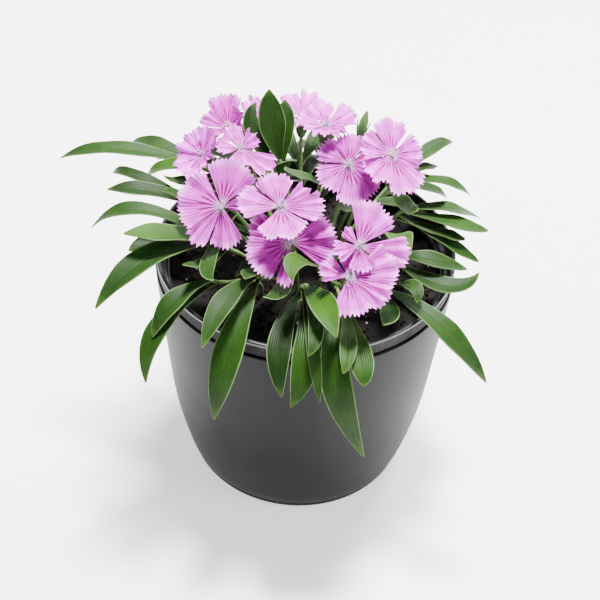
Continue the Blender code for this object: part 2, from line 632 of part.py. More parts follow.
def turned_to(facing):
    """The turn that takes +Z to a facing."""
    return UP.rotation_difference(Vector(facing).normalized()).to_matrix()


def stem_solid(curve, kind):
    """A stem with the calyx that holds its bloom, or with a bud or a shoot's point at its end."""
    path = [Vector((curve[0].x, curve[0].y, SOIL_LEVEL - HOLE_DEPTH + SEAT_GAP))]
    path += [bezier(curve, step / STEM_STEPS) for step in range(STEM_STEPS + 1)]
    radii = [STEM_RADIUS] * len(path)
    ahead = (curve[-1] - curve[-2]).normalized()
    length, swell = STEM_ENDS[kind]
    for share, size in swell:
        path.append(curve[-1] + ahead * length * share)
        radii.append(CALYX_RADIUS * size)
    return tube(path, radii, STEM_SIDES)


def tree(solid):
    """The search tree of a solid given as points and faces."""
    points, faces = solid
    return BVHTree.FromPolygons(points, faces)


def clears_pots(solid):
    """Whether a solid keeps clear of the soil, the grow pot's collar and the planter's side."""
    points, faces = solid
    samples = list(points)
    for face in faces:
        a, b, c = (points[i] for i in face)
        samples += [(a + b) / 2, (b + c) / 2, (c + a) / 2, (a + b + c) / 3]
    inner = COLLAR_RADIUS - COLLAR_ROOM[0]
    outer = COLLAR_RADIUS + COLLAR_ROOM[1]
    side_room, edge_room = PLANTER_ROOM
    for point in samples:
        out = math.hypot(point.x, point.y)
        if out < inner and point.z < SOIL_LEVEL + SOIL_CROWN + SOIL_ROOM:
            return False
        if inner <= out < outer and point.z < POT_TOP + RIM_ROOM:
            return False
        if point.z < PLANTER_HEIGHT + edge_room and out < planter_outside(point.z) + side_room:
            return False
    return True


def clear_of(solid, owner, taken):
    """Whether a solid crosses nothing that belongs to another owner."""
    probe = tree(solid)
    return not any(name != owner and probe.overlap(other) for name, other in taken)


def place_flower(name, stem, taken):
    """Slide and turn a bloom, and sway its stem, until both clear the flowers placed before them."""
    bloom = BLOOMS[stem.bloom]
    facing = Vector(bloom.facing).normalized()
    for slide, turn, sway in FLOWER_TRIES:
        moved = bloom._replace(centre=tuple(Vector(bloom.centre) + facing * slide), turn=turn)
        petals = bloom_solid(moved)
        curve = stem_curve(stem, moved, sway)
        stalk = stem_solid(curve, "bloom")
        if clear_of(petals, name, taken) and clear_of(stalk, name, taken):
            break
    taken += [(name + "_bloom", tree(petals)), (name, tree(stalk))]
    return petals, curve, stalk


def outer_part(solid):
    """The part of a leaf past its first stretch, which may run into the leaves that share its stem."""
    points, faces = solid
    return points, [face for face in faces if min(face) >= BLADE_RING]


def place_leaf(name, leaf, curve, taken, own):
    """Bend, arch, roll or narrow a leaf a little until it clears the pots and what stands round it.

    Leaves of the same stem are kept apart too, past their roots, wherever that leaves a place.
    """
    base = bezier(curve, leaf.at)
    for neighbours in (own, []):
        for arch, bend, twist, narrow in LEAF_TRIES:
            course = Course(base, Vector(leaf.tip), leaf.width * narrow, leaf.arch + arch, leaf.bend + bend,
                            leaf.knee, twist)
            probe = blade(course, CLEARANCE)
            if not (clear_of(probe, name, taken) and clears_pots(probe)):
                continue
            solid = blade(course)
            outer = tree(outer_part(solid))
            if any(outer.overlap(other) for other in neighbours):
                continue
            taken.append((name, tree(solid)))
            own.append(outer)
            return solid
    return None


def keep_largest_shell(obj):
    """Fill what fusing has sealed in, and drop loose scraps, by keeping the body's outer shell alone."""
    shape = bmesh.new()
    shape.from_mesh(obj.data)
    left = set(shape.verts)
    shells = []
    while left:
        shell = {left.pop()}
        edge = list(shell)
        while edge:
            here = edge.pop()
            found = {link.other_vert(here) for link in here.link_edges} & left
            left -= found
            shell |= found
            edge += found
        shells.append(shell)
    largest = max(shells, key=len)
    bmesh.ops.delete(shape, geom=[v for v in shape.verts if v not in largest], context="VERTS")
    shape.to_mesh(obj.data)
    shape.free()


def fuse(name, solids, group, mat):
    """Join closed solids into one body."""
    body = mesh_object(name, *solids[0], group, mat)
    if len(solids) > 1:
        others = collection("joined_to_" + name)
        for solid in solids[1:]:
            mesh_object(name + "_joined", *solid, others)
        boolean(body, others, "UNION", "MANIFOLD")
        keep_largest_shell(body)
    return body


def make_plant(group):
    """Every bloom and stem, then the leaves, each bent clear of what is there already."""
    green = material("leaf_green", (0.06, 0.17, 0.035), 0.45)
    pink = material("petal_pink", (0.78, 0.36, 0.66), 0.6)
    taken = []
    bodies = {}
    for number, stem in enumerate(STEMS, 1):
        name = f"leafy_stem_{number:02d}"
        if stem.bloom in BLOOMS:
            petals, curve, stalk = place_flower(name, stem, taken)
            mesh_object("bloom_" + stem.bloom, *petals, group, pink)
        else:
            curve = stem_curve(stem, None)
            stalk = stem_solid(curve, stem.bloom or "shoot")
            taken.append((name, tree(stalk)))
        bodies[name] = (stem, curve, [stalk])
    for name, (stem, curve, solids) in bodies.items():
        own = []
        for leaf in stem.leaves:
            solid = place_leaf(name, leaf, curve, taken, own)
            if solid:
                solids.append(solid)
    for name, (stem, curve, solids) in bodies.items():
        fuse(name, solids, group, green)


def main():
    """Build the planter, the grow pot, the soil and the plant."""
    clear_scene()
    group = collection("potted_dianthus")
    make_planter(group)
    make_grow_pot(group)
    make_soil(group)
    make_plant(group)


main()
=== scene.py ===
"""The looks of a potted dianthus: fine leaves, petals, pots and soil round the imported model."""
import math
import random
from collections import namedtuple
from itertools import product

import bmesh
import bpy
from mathutils import Matrix, Vector, noise
from mathutils.bvhtree import BVHTree


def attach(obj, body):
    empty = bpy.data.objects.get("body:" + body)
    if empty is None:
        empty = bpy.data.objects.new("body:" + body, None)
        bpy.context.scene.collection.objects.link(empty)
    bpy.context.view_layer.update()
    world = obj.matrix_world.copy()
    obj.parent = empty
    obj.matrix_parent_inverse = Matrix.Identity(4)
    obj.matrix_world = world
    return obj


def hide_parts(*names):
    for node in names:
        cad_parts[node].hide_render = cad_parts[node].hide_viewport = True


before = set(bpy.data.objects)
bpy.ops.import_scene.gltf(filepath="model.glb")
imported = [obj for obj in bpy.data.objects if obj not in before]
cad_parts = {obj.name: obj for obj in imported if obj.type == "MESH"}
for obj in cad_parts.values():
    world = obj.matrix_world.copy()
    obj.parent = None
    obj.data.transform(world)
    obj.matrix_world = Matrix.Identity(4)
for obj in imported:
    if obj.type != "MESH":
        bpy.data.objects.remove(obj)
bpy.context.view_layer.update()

# Driving dimensions in millimetres
PLANTER_HEIGHT = 118.0
PLANTER_TOP_RADIUS = 70.0
PLANTER_BASE_RADIUS = 54.0
PLANTER_WALL = 2.0
PLANTER_FLOOR = 4.0
# Outside of the planter: share of its height, share of the way from base radius to top radius
PLANTER_BULGE = ((0.12, 0.23), (0.35, 0.58), (0.65, 0.80), (0.85, 0.92))

SEAT_GAP = 0.3
COLLAR_HEIGHT = 8.0
COLLAR_RADIUS = 68.9
COLLAR_FOOT = 0.2
POT_SHOULDER_DROP = 4.0
POT_WALL = 1.3
POT_TOP_RADIUS = 64.6
POT_BASE_RADIUS = 46.0
POT_BASE_LEVEL = 12.0
POT_BASE_ROUNDING = 1.5
POT_FLOOR = 2.0
POT_INNER_ROUNDING = 1.0

SOIL_LEVEL = 112.0
SOIL_CROWN = 3.0
SOIL_BASE_GAP = 1.4
HOLE_DEPTH = 12.0

STEM_RADIUS = 1.15
STEM_SIDES = 5
STEM_STEPS = 4
STEM_RISE = 14.0
BLOOM_LEAD = 14.0
SHOOT_LEAD = 12.0
SHOOT_LEAN = 0.6
CALYX_LENGTH = 13.0
CALYX_RADIUS = 2.1
THROAT_DEPTH = 0.5
THROAT_RADIUS = 1.6
BLADE_THICKNESS = 0.7
BLADE_RING = 6
LEAF_STEP = 11.0
LEAF_STEPS = (3, 6)
LEAF_ROOT = 0.8
LEAF_ROOT_THICKENING = 0.4
LEAF_POINT = 0.07
# Leaves that rise within this distance are laid flat to the ground plan's middle instead
LEAF_UPRIGHT = 8.0
# Fold of a leaf at its root, and how much of it is lost towards its tip
LEAF_FOLD = (0.26, 0.13)
PETAL_THICKNESS = 0.65
PETAL_LIFT = 1.4
PETAL_WAVE = 0.9
PETAL_RISE = 1.4
PETAL_ROUNDING = 0.12
# Share of a petal's spread that it has at the throat
PETAL_NARROWING = 0.85
# Middle row of a petal: share of its length, number of points
PETAL_MIDDLE = (0.62, 4)
# Spread in degrees by length in millimetres that one tooth takes up
TOOTH_SPACING = 110.0
TOOTH_DEPTH = 1.6
CLEARANCE = 0.45

# Room the leaves leave round the pots: inside and outside of the collar, above it, beside the planter and
# over its edge, and over the soil
COLLAR_ROOM = (3.5, 2.2)
RIM_ROOM = 1.2
PLANTER_ROOM = (1.5, 1.0)
SOIL_ROOM = 1.5

# What ends a stem: its length, then shares of that length with the radius there as a share of the calyx's
STEM_ENDS = {
    "bloom": (CALYX_LENGTH - THROAT_DEPTH - SEAT_GAP, ((0.25, 0.9), (0.7, 1.0), (1.0, 0.9))),
    "bud": (CALYX_LENGTH, ((0.25, 0.9), (0.6, 1.0), (0.85, 0.7), (1.0, 0.25))),
    "shoot": (5.0, ((0.5, 0.45), (1.0, 0.2))),
}

MM = 0.001
POT_TOP = PLANTER_HEIGHT + SEAT_GAP + COLLAR_HEIGHT
UP = Vector((0, 0, 1))

# What is tried when a bloom meets another: slide along its facing, turn in degrees, sway of its stem
FLOWER_TRIES = sorted(
    product((0, 1.5, -1.5, 3, -3, 4.5, -4.5, 6), (0, 6, -6, 12, -12),
            ((0, 0), (5, 0), (-5, 0), (0, 5), (0, -5), (8, 0), (-8, 0))),
    key=lambda t: abs(t[0]) + abs(t[1]) / 4 + (abs(t[2][0]) + abs(t[2][1])) / 5)
# What is tried when a leaf meets something: more arch, more bend, twist in degrees, share of its width
LEAF_TRIES = sorted(
    product((0, 3, -3, 6, -6, 9, 12, 16), (0, 3, -3, 6, -6, 10, -10), (0, 15, -15, 30, -30),
            (1.0, 0.85, 0.7)),
    key=lambda t: abs(t[0]) / 3 + abs(t[1]) / 3 + abs(t[2]) / 15 + (1 - t[3]) * 15)

# A leaf: share of its stem where it grows, place of its tip and its width, then its bend: height of
# the arch, sideways bend, and share of its run at which it turns
Leaf = namedtuple("Leaf", "at tip width arch bend knee", defaults=[0, 0.5])
# A leaf's course once it has found its place
Course = namedtuple("Course", "base tip width arch bend knee twist")
# A petal: heading in degrees round the bloom's facing, length, half its spread in degrees, lift of its end
Petal = namedtuple("Petal", "heading length spread lift", defaults=[0])
# A bloom: middle of its throat, way it faces, cup of its petals, its petals in order of heading, turn
Bloom = namedtuple("Bloom", "centre facing cup petals turn", defaults=[0])
# A stem: where it leaves the soil, where it ends if it has no bloom, the name of its bloom, its leaves
Stem = namedtuple("Stem", "root end bloom leaves")
# The plant laid out: blooms in their places, stems with their curves, and the courses of their leaves
Layout = namedtuple("Layout", "blooms stems leaves")

BLOOMS = {
    "front_left": Bloom((-37, -27, 168), (-0.15, -0.75, 0.62), 1.0, [
        Petal(2, 13, 19, -1), Petal(71, 21, 32), Petal(165, 20, 45), Petal(231, 21, 13, 1),
        Petal(277, 19, 23, -1)]),
    "front_middle": Bloom((-12, -29, 170), (0.02, -0.35, 0.94), 1.5, [
        Petal(37, 16, 16, -2), Petal(106, 16, 33, 1), Petal(176, 19, 30), Petal(279, 17.5, 42),
        Petal(357, 19.5, 20, 1)]),
    "front_low": Bloom((-7, -38, 159), (0.0, -0.80, 0.60), 2.0, [
        Petal(5, 20.5, 37), Petal(92, 9, 26, -1), Petal(153, 20, 13, -2), Petal(207, 20, 35),
        Petal(266, 19.5, 9, 2)]),
    "front_right": Bloom((18, -55, 156), (0.05, -0.55, 0.83), 1.0, [
        Petal(19, 22, 27), Petal(83, 12.5, 32, -1), Petal(163, 13, 31), Petal(282, 18, 31),
        Petal(334, 20, 19)]),
    "right_low": Bloom((21, -44, 163), (0.25, -0.60, 0.76), 1.0, [
        Petal(0, 23, 18), Petal(73, 21, 32), Petal(139, 10, 20, -1), Petal(204, 12, 26),
        Petal(285, 12, 30)]),
    "middle": Bloom((17, 4, 171), (-0.12, -0.62, 0.78), 1.0, [
        Petal(5, 14, 32), Petal(88, 14.5, 33), Petal(145, 16, 24), Petal(214, 16, 35),
        Petal(289, 19.5, 35)]),
    "right": Bloom((35, -1, 181), (0.25, -0.50, 0.82), 1.5, [
        Petal(17, 14.5, 37), Petal(101, 17, 32), Petal(170, 15.5, 32), Petal(240, 16.5, 30),
        Petal(303, 20, 27)]),
    "rear_middle": Bloom((6, 19, 178), (0.0, -0.10, 0.99), 2.5, [
        Petal(35, 15.5, 24), Petal(108, 14.5, 31), Petal(183, 14, 34), Petal(257, 11, 33),
        Petal(322, 11, 26)]),
    "rear_high": Bloom((-5, 38, 173), (0.0, -0.10, 0.99), 3.0, [
        Petal(60, 14, 33), Petal(122, 14, 26), Petal(178, 10, 27), Petal(246, 11, 34),
        Petal(327, 11, 35)]),
    "rear_left": Bloom((-39, 32, 168), (-0.35, -0.30, 0.88), 5.0, [
        Petal(15, 10, 34), Petal(92, 17, 29), Petal(150, 13, 25), Petal(213, 11, 30),
        Petal(283, 13, 32)]),
    "left": Bloom((-49, 11, 167), (-0.60, -0.40, 0.70), 4.0, [
        Petal(35, 13, 35), Petal(116, 13, 35), Petal(190, 13.5, 34), Petal(255, 14, 28),
        Petal(318, 11, 28)]),
    "left_middle": Bloom((-32, 6, 175), (0.05, -0.20, 0.97), 2.0, [
        Petal(35, 10, 30, 1), Petal(108, 12.5, 33, 1), Petal(190, 11, 36), Petal(271, 13.5, 27),
        Petal(324, 20, 17, -1)]),
    "rear_small": Bloom((-26, 34, 176), (0.05, -0.10, 0.98), 3.0, [
        Petal(20, 8, 36), Petal(92, 8, 36), Petal(164, 8, 36), Petal(236, 8, 36), Petal(308, 8, 36)]),
}

STEMS = [
    Stem((-6, 4), (-14, 12, 166), None, [
        Leaf(0.92, (-20, 24, 195), 14, 4, -4), Leaf(0.84, (-26, 28, 185), 10, 4, -16, 0.65),
        Leaf(0.88, (-13, 30, 186), 10, 6, 0, 0.55), Leaf(0.72, (-6, -2, 176), 7, 10, 8, 0.40)]),
    Stem((-15, -10), None, "front_left", [
        Leaf(0.80, (-38, -56, 151), 7, -6, 14, 0.85), Leaf(0.50, (-58, -8, 141), 9, 8)]),
    Stem((-6, -12), None, "front_middle", [
        Leaf(0.50, (-30, -40, 140), 8, 6)]),
    Stem((-3, -19), None, "front_low", [
        Leaf(0.60, (-17, -60, 147), 8, -8, -8, 0.85)]),
    Stem((7, -16), None, "front_right", [
        Leaf(0.80, (-5, -66, 162), 11, 16, 10, 0.70)]),
    Stem((13, -12), None, "right_low", [
        Leaf(0.55, (44, -30, 146), 9, 8)]),
    Stem((6, -4), None, "middle", [
        Leaf(0.72, (-10, -12, 177), 11, 0, 4, 0.80), Leaf(0.66, (26, -18, 164), 7, -6, 8, 0.55)]),
    Stem((14, 1), None, "right", [
        Leaf(0.80, (64, 18, 145), 9, 10, 8, 0.85), Leaf(0.90, (48, -8, 156), 9, -8, -2, 0.85),
        Leaf(0.50, (58, 6, 140), 9, 8)]),
    Stem((2, 7), None, "rear_middle", [
        Leaf(0.72, (26, 24, 170), 9, 6), Leaf(0.50, (28, 46, 142), 10, 10)]),
    Stem((-3, 13), None, "rear_high", [
        Leaf(0.70, (10, 66, 150), 10, 8), Leaf(0.66, (-20, 62, 152), 10, 8),
        Leaf(0.50, (2, 62, 134), 10, 10)]),
    Stem((-13, 9), None, "rear_left", [
        Leaf(0.68, (-62, 46, 148), 10, 8), Leaf(0.74, (-34, 60, 150), 9, 7),
        Leaf(0.50, (-48, 54, 134), 10, 10)]),
    Stem((-17, 2), None, "left", [
        Leaf(0.90, (-66, 6, 158), 7, -6, -4, 0.80), Leaf(0.97, (-75, 18, 149), 10, 12, -6, 0.85)]),
    Stem((-10, -2), None, "left_middle", [
        Leaf(0.66, (-46, -10, 176), 7, 6), Leaf(0.74, (-14, -14, 169), 8, 5),
        Leaf(0.50, (-50, 16, 146), 8, 8)]),
    Stem((-9, 16), None, "rear_small", [
        Leaf(0.72, (-24, 60, 160), 8, 6), Leaf(0.50, (-16, 58, 138), 9, 8)]),
    Stem((10, 7), (22, 32, 166), "bud", [
        Leaf(0.80, (36, 36, 166), 8, 5), Leaf(0.66, (20, 58, 150), 9, 7),
        Leaf(0.50, (46, 42, 140), 9, 8)]),
    Stem((-22, -2), (-47, 2, 147), None, [
        Leaf(0.92, (-91, 0, 153), 11, 10, -4, 0.65), Leaf(0.97, (-65, -8, 160), 7, 2, 0, 0.65),
        Leaf(0.84, (-91, 19, 149), 8, 22, -8, 0.85)]),
    Stem((-20, 9), (-42, 26, 150), None, [
        Leaf(0.92, (-117, 26, 150), 11, 18, -8, 0.70), Leaf(0.84, (-86, 42, 149), 10, 12, -2, 0.85),
        Leaf(0.76, (-76, 54, 132), 11, 13)]),
    Stem((-21, -11), (-41, -26, 149), None, [
        Leaf(0.90, (-95, -22, 148), 10, 24, 4, 0.70), Leaf(0.95, (-78, -38, 159), 13, 8, -2, 0.55),
        Leaf(0.84, (-88, -61, 136), 15, 18, 8, 0.55), Leaf(0.72, (-52, -48, 152), 7, 0, -2, 0.55),
        Leaf(0.80, (-77, -34, 146), 12, 10, 4, 0.80)]),
    Stem((-19, -21), (-41, -40, 138), None, [
        Leaf(0.84, (-66, -75, 107), 11, 18, 12, 0.80), Leaf(0.94, (-64, -63, 123), 11, 12, 4, 0.65)]),
    Stem((-11, -21), (-21, -42, 143), None, [
        Leaf(0.92, (-41, -79, 134), 11, 12, 4), Leaf(0.86, (-36, -85, 97), 14, 34, -2, 0.85),
        Leaf(0.70, (-25, -54, 151), 8, 8, 6, 0.55)]),
    Stem((1, -23), (-1, -44, 140), None, [
        Leaf(0.70, (-7, -85, 113), 11, 24, 8, 0.85), Leaf(0.82, (-3, -87, 109), 13, 24, -4, 0.85),
        Leaf(0.94, (9, -87, 113), 6, 18, 2, 0.85), Leaf(0.90, (3, -82, 135), 7, -2, -8, 0.80),
        Leaf(0.96, (14, -82, 147), 12, 10, -2)]),
    Stem((14, -21), (18, -48, 135), None, [
        Leaf(0.84, (30, -87, 80), 14, 48, 24, 0.85), Leaf(0.90, (18, -83, 127), 8, 2, -4, 0.75),
        Leaf(0.96, (27, -84, 121), 11, 8, -2, 0.85)]),
    Stem((24, -13), (37, -34, 134), None, [
        Leaf(0.86, (82, -63, 106), 13, 22, 6, 0.65), Leaf(0.95, (49, -48, 137), 8, 8, -8, 0.65),
        Leaf(0.72, (34, -64, 138), 9, -4, -8, 0.65)]),
    Stem((23, -4), (41, -14, 138), None, [
        Leaf(0.80, (78, -22, 134), 12, -6, 20, 0.85), Leaf(0.90, (74, -13, 128), 11, 10, 10),
        Leaf(0.97, (44, -42, 158), 13, 22, 6, 0.35)]),
    Stem((22, 3), (45, 6, 148), None, [
        Leaf(0.84, (80, -6, 127), 8, 4, 4, 0.80), Leaf(0.90, (84, 6, 136), 10, 6, 2, 0.70),
        Leaf(0.96, (81, 16, 135), 11, 10, 2, 0.60), Leaf(0.78, (73, -1, 136), 7, 0, 2, 0.85)]),
    Stem((18, 11), (41, 22, 154), None, [
        Leaf(0.90, (76, 26, 141), 8, 10, 0, 0.75), Leaf(0.96, (60, 34, 151), 6, 6, 4, 0.60),
        Leaf(0.86, (67, 46, 157), 9, 12, 2, 0.70), Leaf(0.66, (66, 58, 124), 11, 15)]),
    Stem((4, 21), (7, 44, 145), None, [
        Leaf(0.80, (-9, 84, 116), 11, 20), Leaf(0.90, (14, 86, 108), 12, 24),
        Leaf(0.96, (8, 82, 142), 10, 9)]),
    Stem((-15, 20), (-32, 42, 145), None, [
        Leaf(0.80, (-46, 80, 108), 12, 22), Leaf(0.90, (-64, 66, 120), 11, 17),
        Leaf(0.96, (-28, 80, 134), 10, 12)]),
    Stem((15, 20), (32, 42, 145), None, [
        Leaf(0.80, (50, 77, 106), 12, 22), Leaf(0.92, (34, 80, 132), 10, 12),
        Leaf(0.96, (62, 60, 140), 10, 9)]),
]

# Fine shapes, in millimetres where not said otherwise
FINE_STEPS = 18
FINE_ACROSS = 8
FINE_BLADE = 0.42
LEAF_END = 0.14
LEAF_SHEATH = 1.25
EDGE_RIPPLE = 0.35
LEAF_SLIMNESS = 0.95
LEAF_TAPER = 0.20
PETAL_ROWS_FINE = (0.07, 0.13, 0.21, 0.31, 0.43, 0.56, 0.68, 0.79, 0.88, 0.945, 1.0)
FRINGE_SPACING = 50.0
PETAL_SHEET = 0.26
PETAL_OVERLAP = 5.0
PETAL_REACH = 2.5
FRINGE_DEPTH = 2.2
STALK_SIDES = 10
STALK_STEPS = 16
CALYX_SIDES = 20
POT_TURN_STEPS = 144
PEAT_RINGS = 46
PEAT_TURN_STEPS = 150
RIB_COUNT = 5
CRUMB_COUNT = 1500
PERLITE_COUNT = 46

# The view of the photo: a long lens that looks down from the front, turned a little to the right
VIEW_HEIGHT_ANGLE = 42.1
VIEW_ROLL = 3.0
VIEW_DISTANCE = 0.605
VIEW_AIM = Vector((-0.0015, 0.0, 0.092))
LENS_PER_PIXEL = 1250.0
FRAME_PIXELS = 600.0
SENSOR = 36.0

WORLD_LIGHT = 0.34
FLOOR_GLOW = 1.0
# Each lamp: name, place in metres, width, power in watts
STUDIO_LAMPS = (
    ("key_light", (0.05, 0.25, 1.6), 0.30, 125.0),
    ("fill_light", (1.2, -0.5, 1.0), 0.7, 12.0),
    ("back_light", (0.6, 1.0, 1.3), 0.6, 40.0),
)

LEAF_TONES = {
    # Brighter and darker leaves than the rest, by stem number and place in its list
    (1, 0): 0.30, (1, 1): 0.15, (1, 2): 0.25, (1, 3): 0.55, (2, 0): 0.40, (4, 0): 0.45, (5, 0): 0.85,
    (7, 0): 0.60, (7, 1): 0.50, (8, 0): 0.30, (8, 1): 0.45, (16, 0): 0.12, (16, 1): 0.45, (12, 0): 0.45,
    (12, 1): 0.80, (17, 0): 0.45, (17, 1): 0.35, (18, 0): 0.35, (18, 1): 0.90, (18, 2): 0.25, (18, 3): 0.45,
    (18, 4): 0.20, (19, 0): 0.40, (19, 1): 0.30, (20, 0): 0.30, (20, 1): 0.45, (21, 0): 0.10, (21, 1): 0.40,
    (21, 2): 0.55, (21, 3): 0.35, (21, 4): 0.90, (22, 0): 0.40, (22, 1): 0.70, (22, 2): 0.50, (23, 0): 0.35,
    (24, 0): 0.25, (24, 1): 0.30, (24, 2): 1.0, (25, 2): 0.55,
}
BLOOM_TINTS = {
    # Paleness of each bloom, from 0 for deep pink to 1 for nearly white
    "front_left": 0.35, "front_middle": 0.40, "front_low": 0.10, "front_right": 0.45, "right_low": 0.40,
    "middle": 0.40, "right": 0.50, "rear_middle": 0.65, "rear_high": 0.75, "rear_left": 0.15,
    "left": 1.0, "left_middle": 0.45, "rear_small": 0.85,
}


def planter_outside(height):
    """Radius of the planter's outside at a height, read along straight stretches of its side."""
    side = [(0.0, 0.0), *PLANTER_BULGE, (1.0, 1.0)]
    share = min(max(height / PLANTER_HEIGHT, 0.0), 1.0)
    for (low, near), (high, far) in zip(side, side[1:]):
        if share <= high:
            way = near + (far - near) * (share - low) / (high - low)
            return PLANTER_BASE_RADIUS + (PLANTER_TOP_RADIUS - PLANTER_BASE_RADIUS) * way
    return PLANTER_TOP_RADIUS


def bezier(points, share):
    """A point on a Bezier curve of any degree."""
    row = list(points)
    while len(row) > 1:
        row = [a.lerp(b, share) for a, b in zip(row, row[1:])]
    return row[0]


def stem_curve(stem, bloom, sway=(0, 0)):
    """Control points of a stem: straight up out of the soil, then over to its bloom or its end."""
    start = Vector((*stem.root, SOIL_LEVEL + SOIL_CROWN))
    if bloom:
        facing = Vector(bloom.facing).normalized()
        end = Vector(bloom.centre) - facing * CALYX_LENGTH
        lead = end - facing * BLOOM_LEAD
    else:
        end = Vector(stem.end)
        outward = Vector((end.x, end.y, 0)) - Vector((*stem.root, 0))
        lead = end - (outward.normalized() * SHOOT_LEAN + UP).normalized() * SHOOT_LEAD
    return [start, start + UP * STEM_RISE, lead + Vector((*sway, 0)), end]


def loft(rings):
    """Close a row of equal rings of points into one solid, split into triangles."""
    size = len(rings[0])
    points = [point for ring in rings for point in ring]
    faces = []
    for row in range(len(rings) - 1):
        for i in range(size):
            j = (i + 1) % size
            a, b = row * size + i, row * size + j
            c, d = b + size, a + size
            faces += [(a, b, c), (a, c, d)]
    last = (len(rings) - 1) * size
    faces += [(0, i + 1, i) for i in range(1, size - 1)]
    faces += [(last, last + i, last + i + 1) for i in range(1, size - 1)]
    return points, faces


def tube(path, radii, sides):
    """A tube along a path, with its own radius at each point."""
    rings = []
    for index, middle in enumerate(path):
        ahead = path[min(index + 1, len(path) - 1)] - path[max(index - 1, 0)]
        across = ahead.cross(Vector((0.3, 1, 0.1))).normalized()
        other = ahead.cross(across).normalized()
        ring = []
        for side in range(sides):
            angle = 2 * math.pi * side / sides
            ring.append(middle + (across * math.cos(angle) + other * math.sin(angle)) * radii[index])
        rings.append(ring)
    return loft(rings)


def leaf_section(course, share):
    """Middle, way across, face normal and half width of a leaf at a share of its course."""
    run = course.tip - course.base
    level = Vector((run.x, run.y, 0))
    if level.length < LEAF_UPRIGHT:
        level += Vector((course.base.x, course.base.y, 0))
    side = level.cross(UP).normalized()
    knee = course.base + run * course.knee + UP * course.arch + side * course.bend
    middle = bezier([course.base, knee, course.tip], share)
    ahead = ((knee - course.base) * (1 - share) + (course.tip - knee) * share).normalized()
    across = (side - ahead * side.dot(ahead)).normalized()
    normal = across.cross(ahead).normalized()
    roll = math.radians(course.twist) * share
    rolled = across * math.cos(roll) + normal * math.sin(roll)
    normal = normal * math.cos(roll) - across * math.sin(roll)
    half = course.width / 2 * max(math.sin(math.pi * share ** 1.3) ** 0.75, LEAF_POINT)
    return middle, rolled, normal, half


def blade(course, grow=0.0):
    """A lance-shaped leaf folded along its midrib: its root is sunk in the stem, its edges are lifted.

    grow fattens it for the clearance test.
    """
    fewest, most = LEAF_STEPS
    steps = min(max(round((course.tip - course.base).length / LEAF_STEP), fewest), most)
    fold, unfold = LEAF_FOLD
    rings = []
    for step in range(steps + 1):
        share = step / steps
        middle, across, normal, half = leaf_section(course, share)
        half = max(half, LEAF_ROOT) + grow
        lift = normal * half * (fold - unfold * share)
        thick = normal * (BLADE_THICKNESS / 2 + grow + LEAF_ROOT_THICKENING * (1 - share) ** 3)
        left = middle - across * half + lift
        right = middle + across * half + lift
        rings.append([left + thick, middle + thick, right + thick,
                      right - thick, middle - thick, left - thick])
    return mirrored_loft(rings)


def mirrored_loft(rings):
    """Loft six-point blade sections, with the same diagonals on the upper and the lower face."""
    points = [point for ring in rings for point in ring]
    faces = []
    for row in range(len(rings) - 1):
        now = row * BLADE_RING
        new = now + BLADE_RING
        for a, b in ((0, 1), (1, 2)):
            c, d = 5 - a, 5 - b
            faces += [(now + a, now + b, new + b), (now + a, new + b, new + a)]
            faces += [(now + d, now + c, new + d), (now + c, new + c, new + d)]
        faces += [(now + 2, now + 3, new + 3), (now + 2, new + 3, new + 2)]
        faces += [(now + 5, now, new), (now + 5, new, new + 5)]
    last = (len(rings) - 1) * BLADE_RING
    cap = ((0, 5, 4), (0, 4, 1), (1, 4, 3), (1, 3, 2))
    faces += list(cap)
    faces += [tuple(last + i for i in reversed(face)) for face in cap]
    return points, faces


def stitch(near, far):
    """Fill the strip between two rows of points that run the same way, whatever their counts."""
    faces = []
    i = j = 0
    while i < len(near) - 1 or j < len(far) - 1:
        inner = (i + 1) / (len(near) - 1)
        outer = (j + 1) / (len(far) - 1)
        if j == len(far) - 1 or (i < len(near) - 1 and inner <= outer):
            faces.append((near[i], far[j], near[i + 1]))
            i += 1
        else:
            faces.append((near[i], far[j], far[j + 1]))
            j += 1
    return faces


def petal_point(bloom, index, across, share, overlap=0.0):
    """A point of a petal's middle face and the normal there.

    across runs from -1 to 1 over the petal, share from its throat to its edge. Its left side is lifted
    over its neighbour, so the petals of a bloom overlap like a pinwheel; overlap widens it in degrees.
    """
    petal = bloom.petals[index]
    narrowing = PETAL_NARROWING + (1 - PETAL_NARROWING) * share
    fan = petal.spread * narrowing + overlap * (1 - 0.4 * share)
    angle = math.radians(bloom.turn + petal.heading + fan * across)
    reach = petal.length * share * (1 - PETAL_ROUNDING * across ** 2 * share)
    cup = bloom.cup + petal.lift
    height = cup * share ** PETAL_RISE + PETAL_LIFT * across * share
    height += PETAL_WAVE * math.sin(3 * math.pi * across + index) * share ** 2
    slope = PETAL_RISE * cup * share ** (PETAL_RISE - 1) / petal.length
    outward = Vector((math.cos(angle), math.sin(angle), 0))
    return outward * reach + UP * height, (UP - outward * slope).normalized()


def petal_rows(bloom, index):
    """Rows of points and normals of one fan-shaped petal, from the throat to its toothed edge."""
    petal = bloom.petals[index]
    teeth = max(2, round(petal.spread * petal.length / TOOTH_SPACING))
    notch = 1 - TOOTH_DEPTH / petal.length
    rows = []
    for share, count in ((THROAT_RADIUS / petal.length, 2), PETAL_MIDDLE, (1.0, 2 * teeth + 1)):
        row = []
        for column in range(count):
            across = 2 * column / (count - 1) - 1
            notched = share == 1.0 and column % 2 == 0
            row.append(petal_point(bloom, index, across, notch if notched else share))
        rows.append(row)
    return rows


